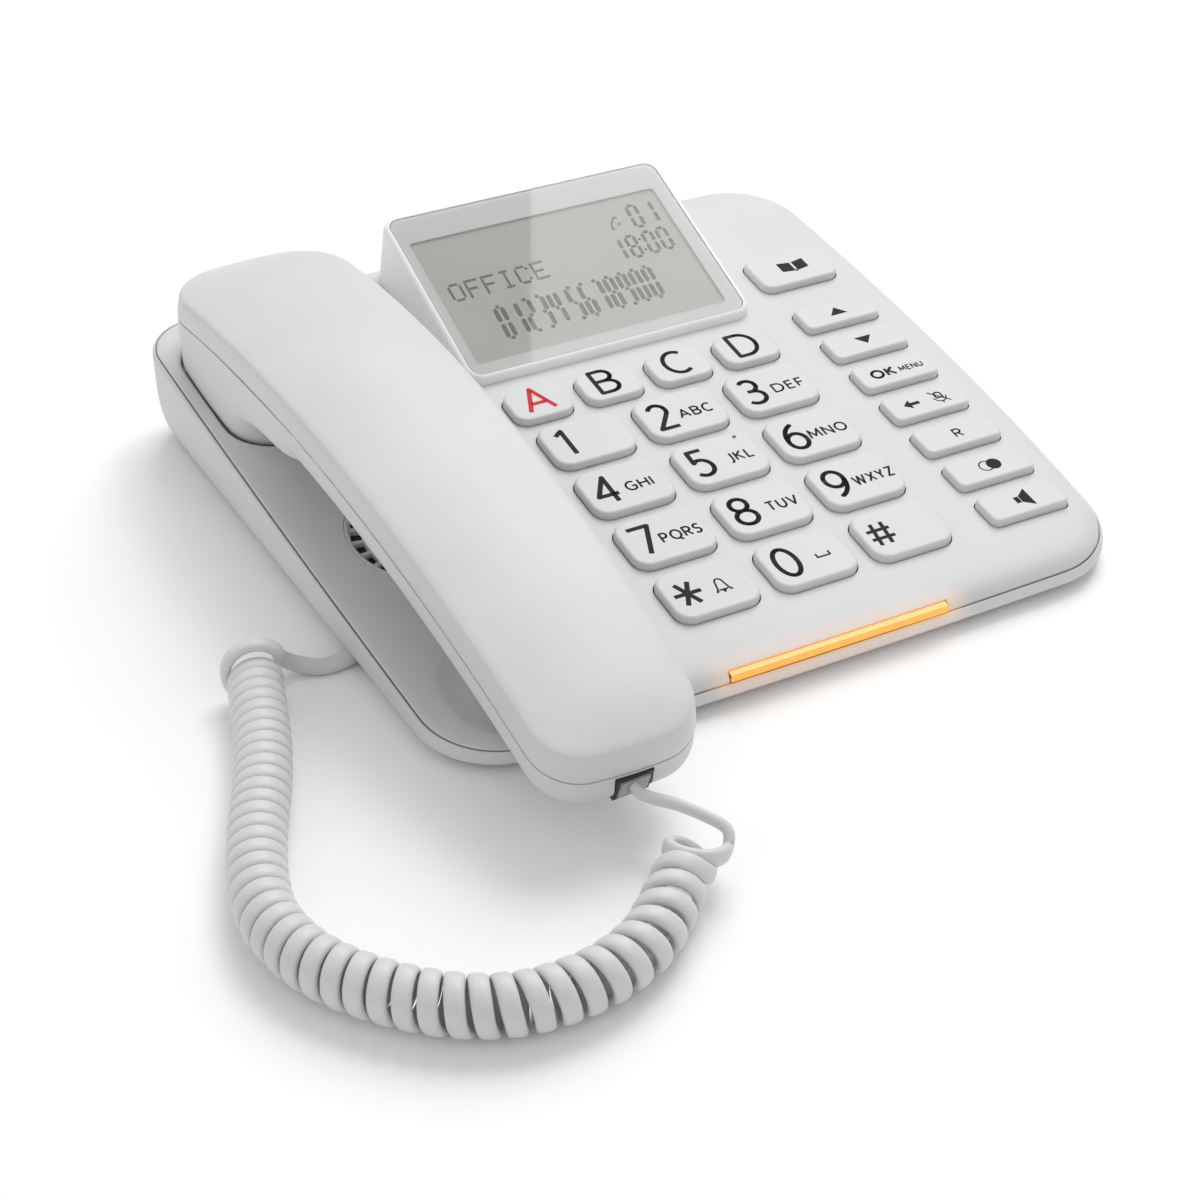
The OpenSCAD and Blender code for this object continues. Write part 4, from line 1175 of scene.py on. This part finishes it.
def handset_ring(inset, height):
    """A ring round the handset. height(x, s) is over the joint line's arch."""
    return [Vector((x, s, arch(s) + height(x, s))) for x, s in outline(HANDSET_PLAN, inset, 12, 30)]


# How far in each ring of the upper shell is, and its share of the full height there.
upper_profile = [
    (0.1, 0.02), (0.0, 0.05), (0.08, 0.3), (0.35, 0.62), (0.6, 0.8), (0.78, 0.885), (1.02, 0.94),
    (1.35, 0.972), (1.9, 0.99), (3.0, 1.0),
]
bm = bmesh.new()
inner = [handset_ring(2.2, lambda x, s: 1.4), handset_ring(2.0, lambda x, s: 0.0)]
rings = inner + [handset_ring(i, lambda x, s, f=f: f * top_height(x, s)) for i, f in upper_profile]
top = loft(bm, rings)
crown(bm, top, lambda x, s: arch(s) + top_height(x, s), 4.5)
upper = to_object("handset_top", bm, HANDSET, handset_mat, sharp=50)
finish_piece(upper, "handset", "housing_white", "handset_upper_shell")

bm = bmesh.new()
belly = [(0.0, 4.0), (0.0, -4.6), (0.2, -5.8), (0.75, -6.9), (1.8, -7.8), (3.4, -8.35), (6.5, -8.5)]
face = loft(bm, [handset_ring(i, lambda x, s, h=h: h) for i, h in belly])
crown(bm, face, lambda x, s: arch(s) - 8.5, 6)
lower = to_object("handset_bottom", bm, HANDSET, handset_mat)


def ear_ring(inset, z, reach):
    """A ring round the ear cup. reach is how far its front has run out into the grip at this height."""
    front = 60.2 - reach
    corners = [
        ((-25.0, front), 13, 0.2), ((24.6, front), 13, 0.3),
        ((25.0, 113.0), 13, 1), ((-25.3, 113.0), 13, 0.3),
    ]
    return level(outline(corners, inset, 12, 8), z)


bm = bmesh.new()
ear_profile = [
    (0.3, 22, 34), (0.2, 13, 34), (0.1, 10.6, 22), (0.0, 8.4, 13.5), (0.0, 5.6, 7), (0.0, 2.4, 3),
    (0.0, -0.8, 0.8), (0.0, -3.6, 0), (0.4, -5.0, 0), (1.4, -6.0, 0), (3.0, -6.45, 0), (5.0, -6.5, 0),
]
loft(bm, [ear_ring(*ring) for ring in ear_profile])
ear_cup = to_object("ear_cup", bm, HANDSET, handset_mat)
MOUTH_CUP = box_corners(-18, -95, 18, -45, 12)
MOUTH_TIP = box_corners(-11, -66, 11, -44, 9)


def mouth_ring(t, z):
    """A ring round the mouth cup, at a fraction of the way from its root to its tip."""
    a, b = outline(MOUTH_CUP, 0, 12, 6), outline(MOUTH_TIP, 0, 12, 6)
    return [Vector((*p.lerp(q, t), z)) for p, q in zip(a, b)]


bm = bmesh.new()
mouth_profile = [
    (0, 12), (0.02, 6), (0.2, 3.6), (0.45, 1.1), (0.7, -0.9), (0.88, -2.3), (1.0, -3.0), (1.1, -3.1),
]
loft(bm, [mouth_ring(t, z) for t, z in mouth_profile])
# The cups overlap the grip. Remeshing makes one skin of them, and relaxing rounds the corners between them.
join(lower, ear_cup, to_object("mouth_cup", bm, HANDSET, handset_mat))
remesh = lower.modifiers.new("remesh", "REMESH")
remesh.mode = "VOXEL"
remesh.voxel_size = 0.0007
relax = lower.modifiers.new("relax", "SMOOTH")
relax.factor = 0.5
relax.iterations = 12
apply_modifiers(lower)
# The joint with the upper shell: a crisp edge along the arch.
SEAM_GAP = 0.22
above = [(s, arch(s) - SEAM_GAP) for s in range(-120, 141, 4)]
bm = bmesh.new()
prism(bm, above + [(136, 70), (-120, 70)], -40, 40)
cut(lower, bm, HANDSET @ SIDEWAYS)
# Notch for the cord's socket.
SOCKET_S = MOUTH_S + 1.2
SOCKET = (
    HANDSET
    @ Matrix.Translation((-0.5, SOCKET_S, arch(SOCKET_S) - 4.6))
    @ Matrix.Rotation(math.asin(-SOCKET_S / ARCH_R), 4, "X")
)
bm = bmesh.new()
prism(bm, rectangle(-4.8, -9, 4.8, 14.3), -3.3, 3.9)
cut(lower, bm, SOCKET)
# A lip that goes up inside the upper shell.
bm = bmesh.new()
lip_profile = [(1.0, -0.6), (1.0, 1.6), (1.8, 1.6), (1.8, -0.6)]
loft(bm, [handset_ring(i, lambda x, s, h=h: h) for i, h in lip_profile])
join(lower, to_object("lip", bm, HANDSET, handset_mat))
smooth(lower, 50)
finish_piece(lower, "handset", "housing_white", "handset_lower_shell")
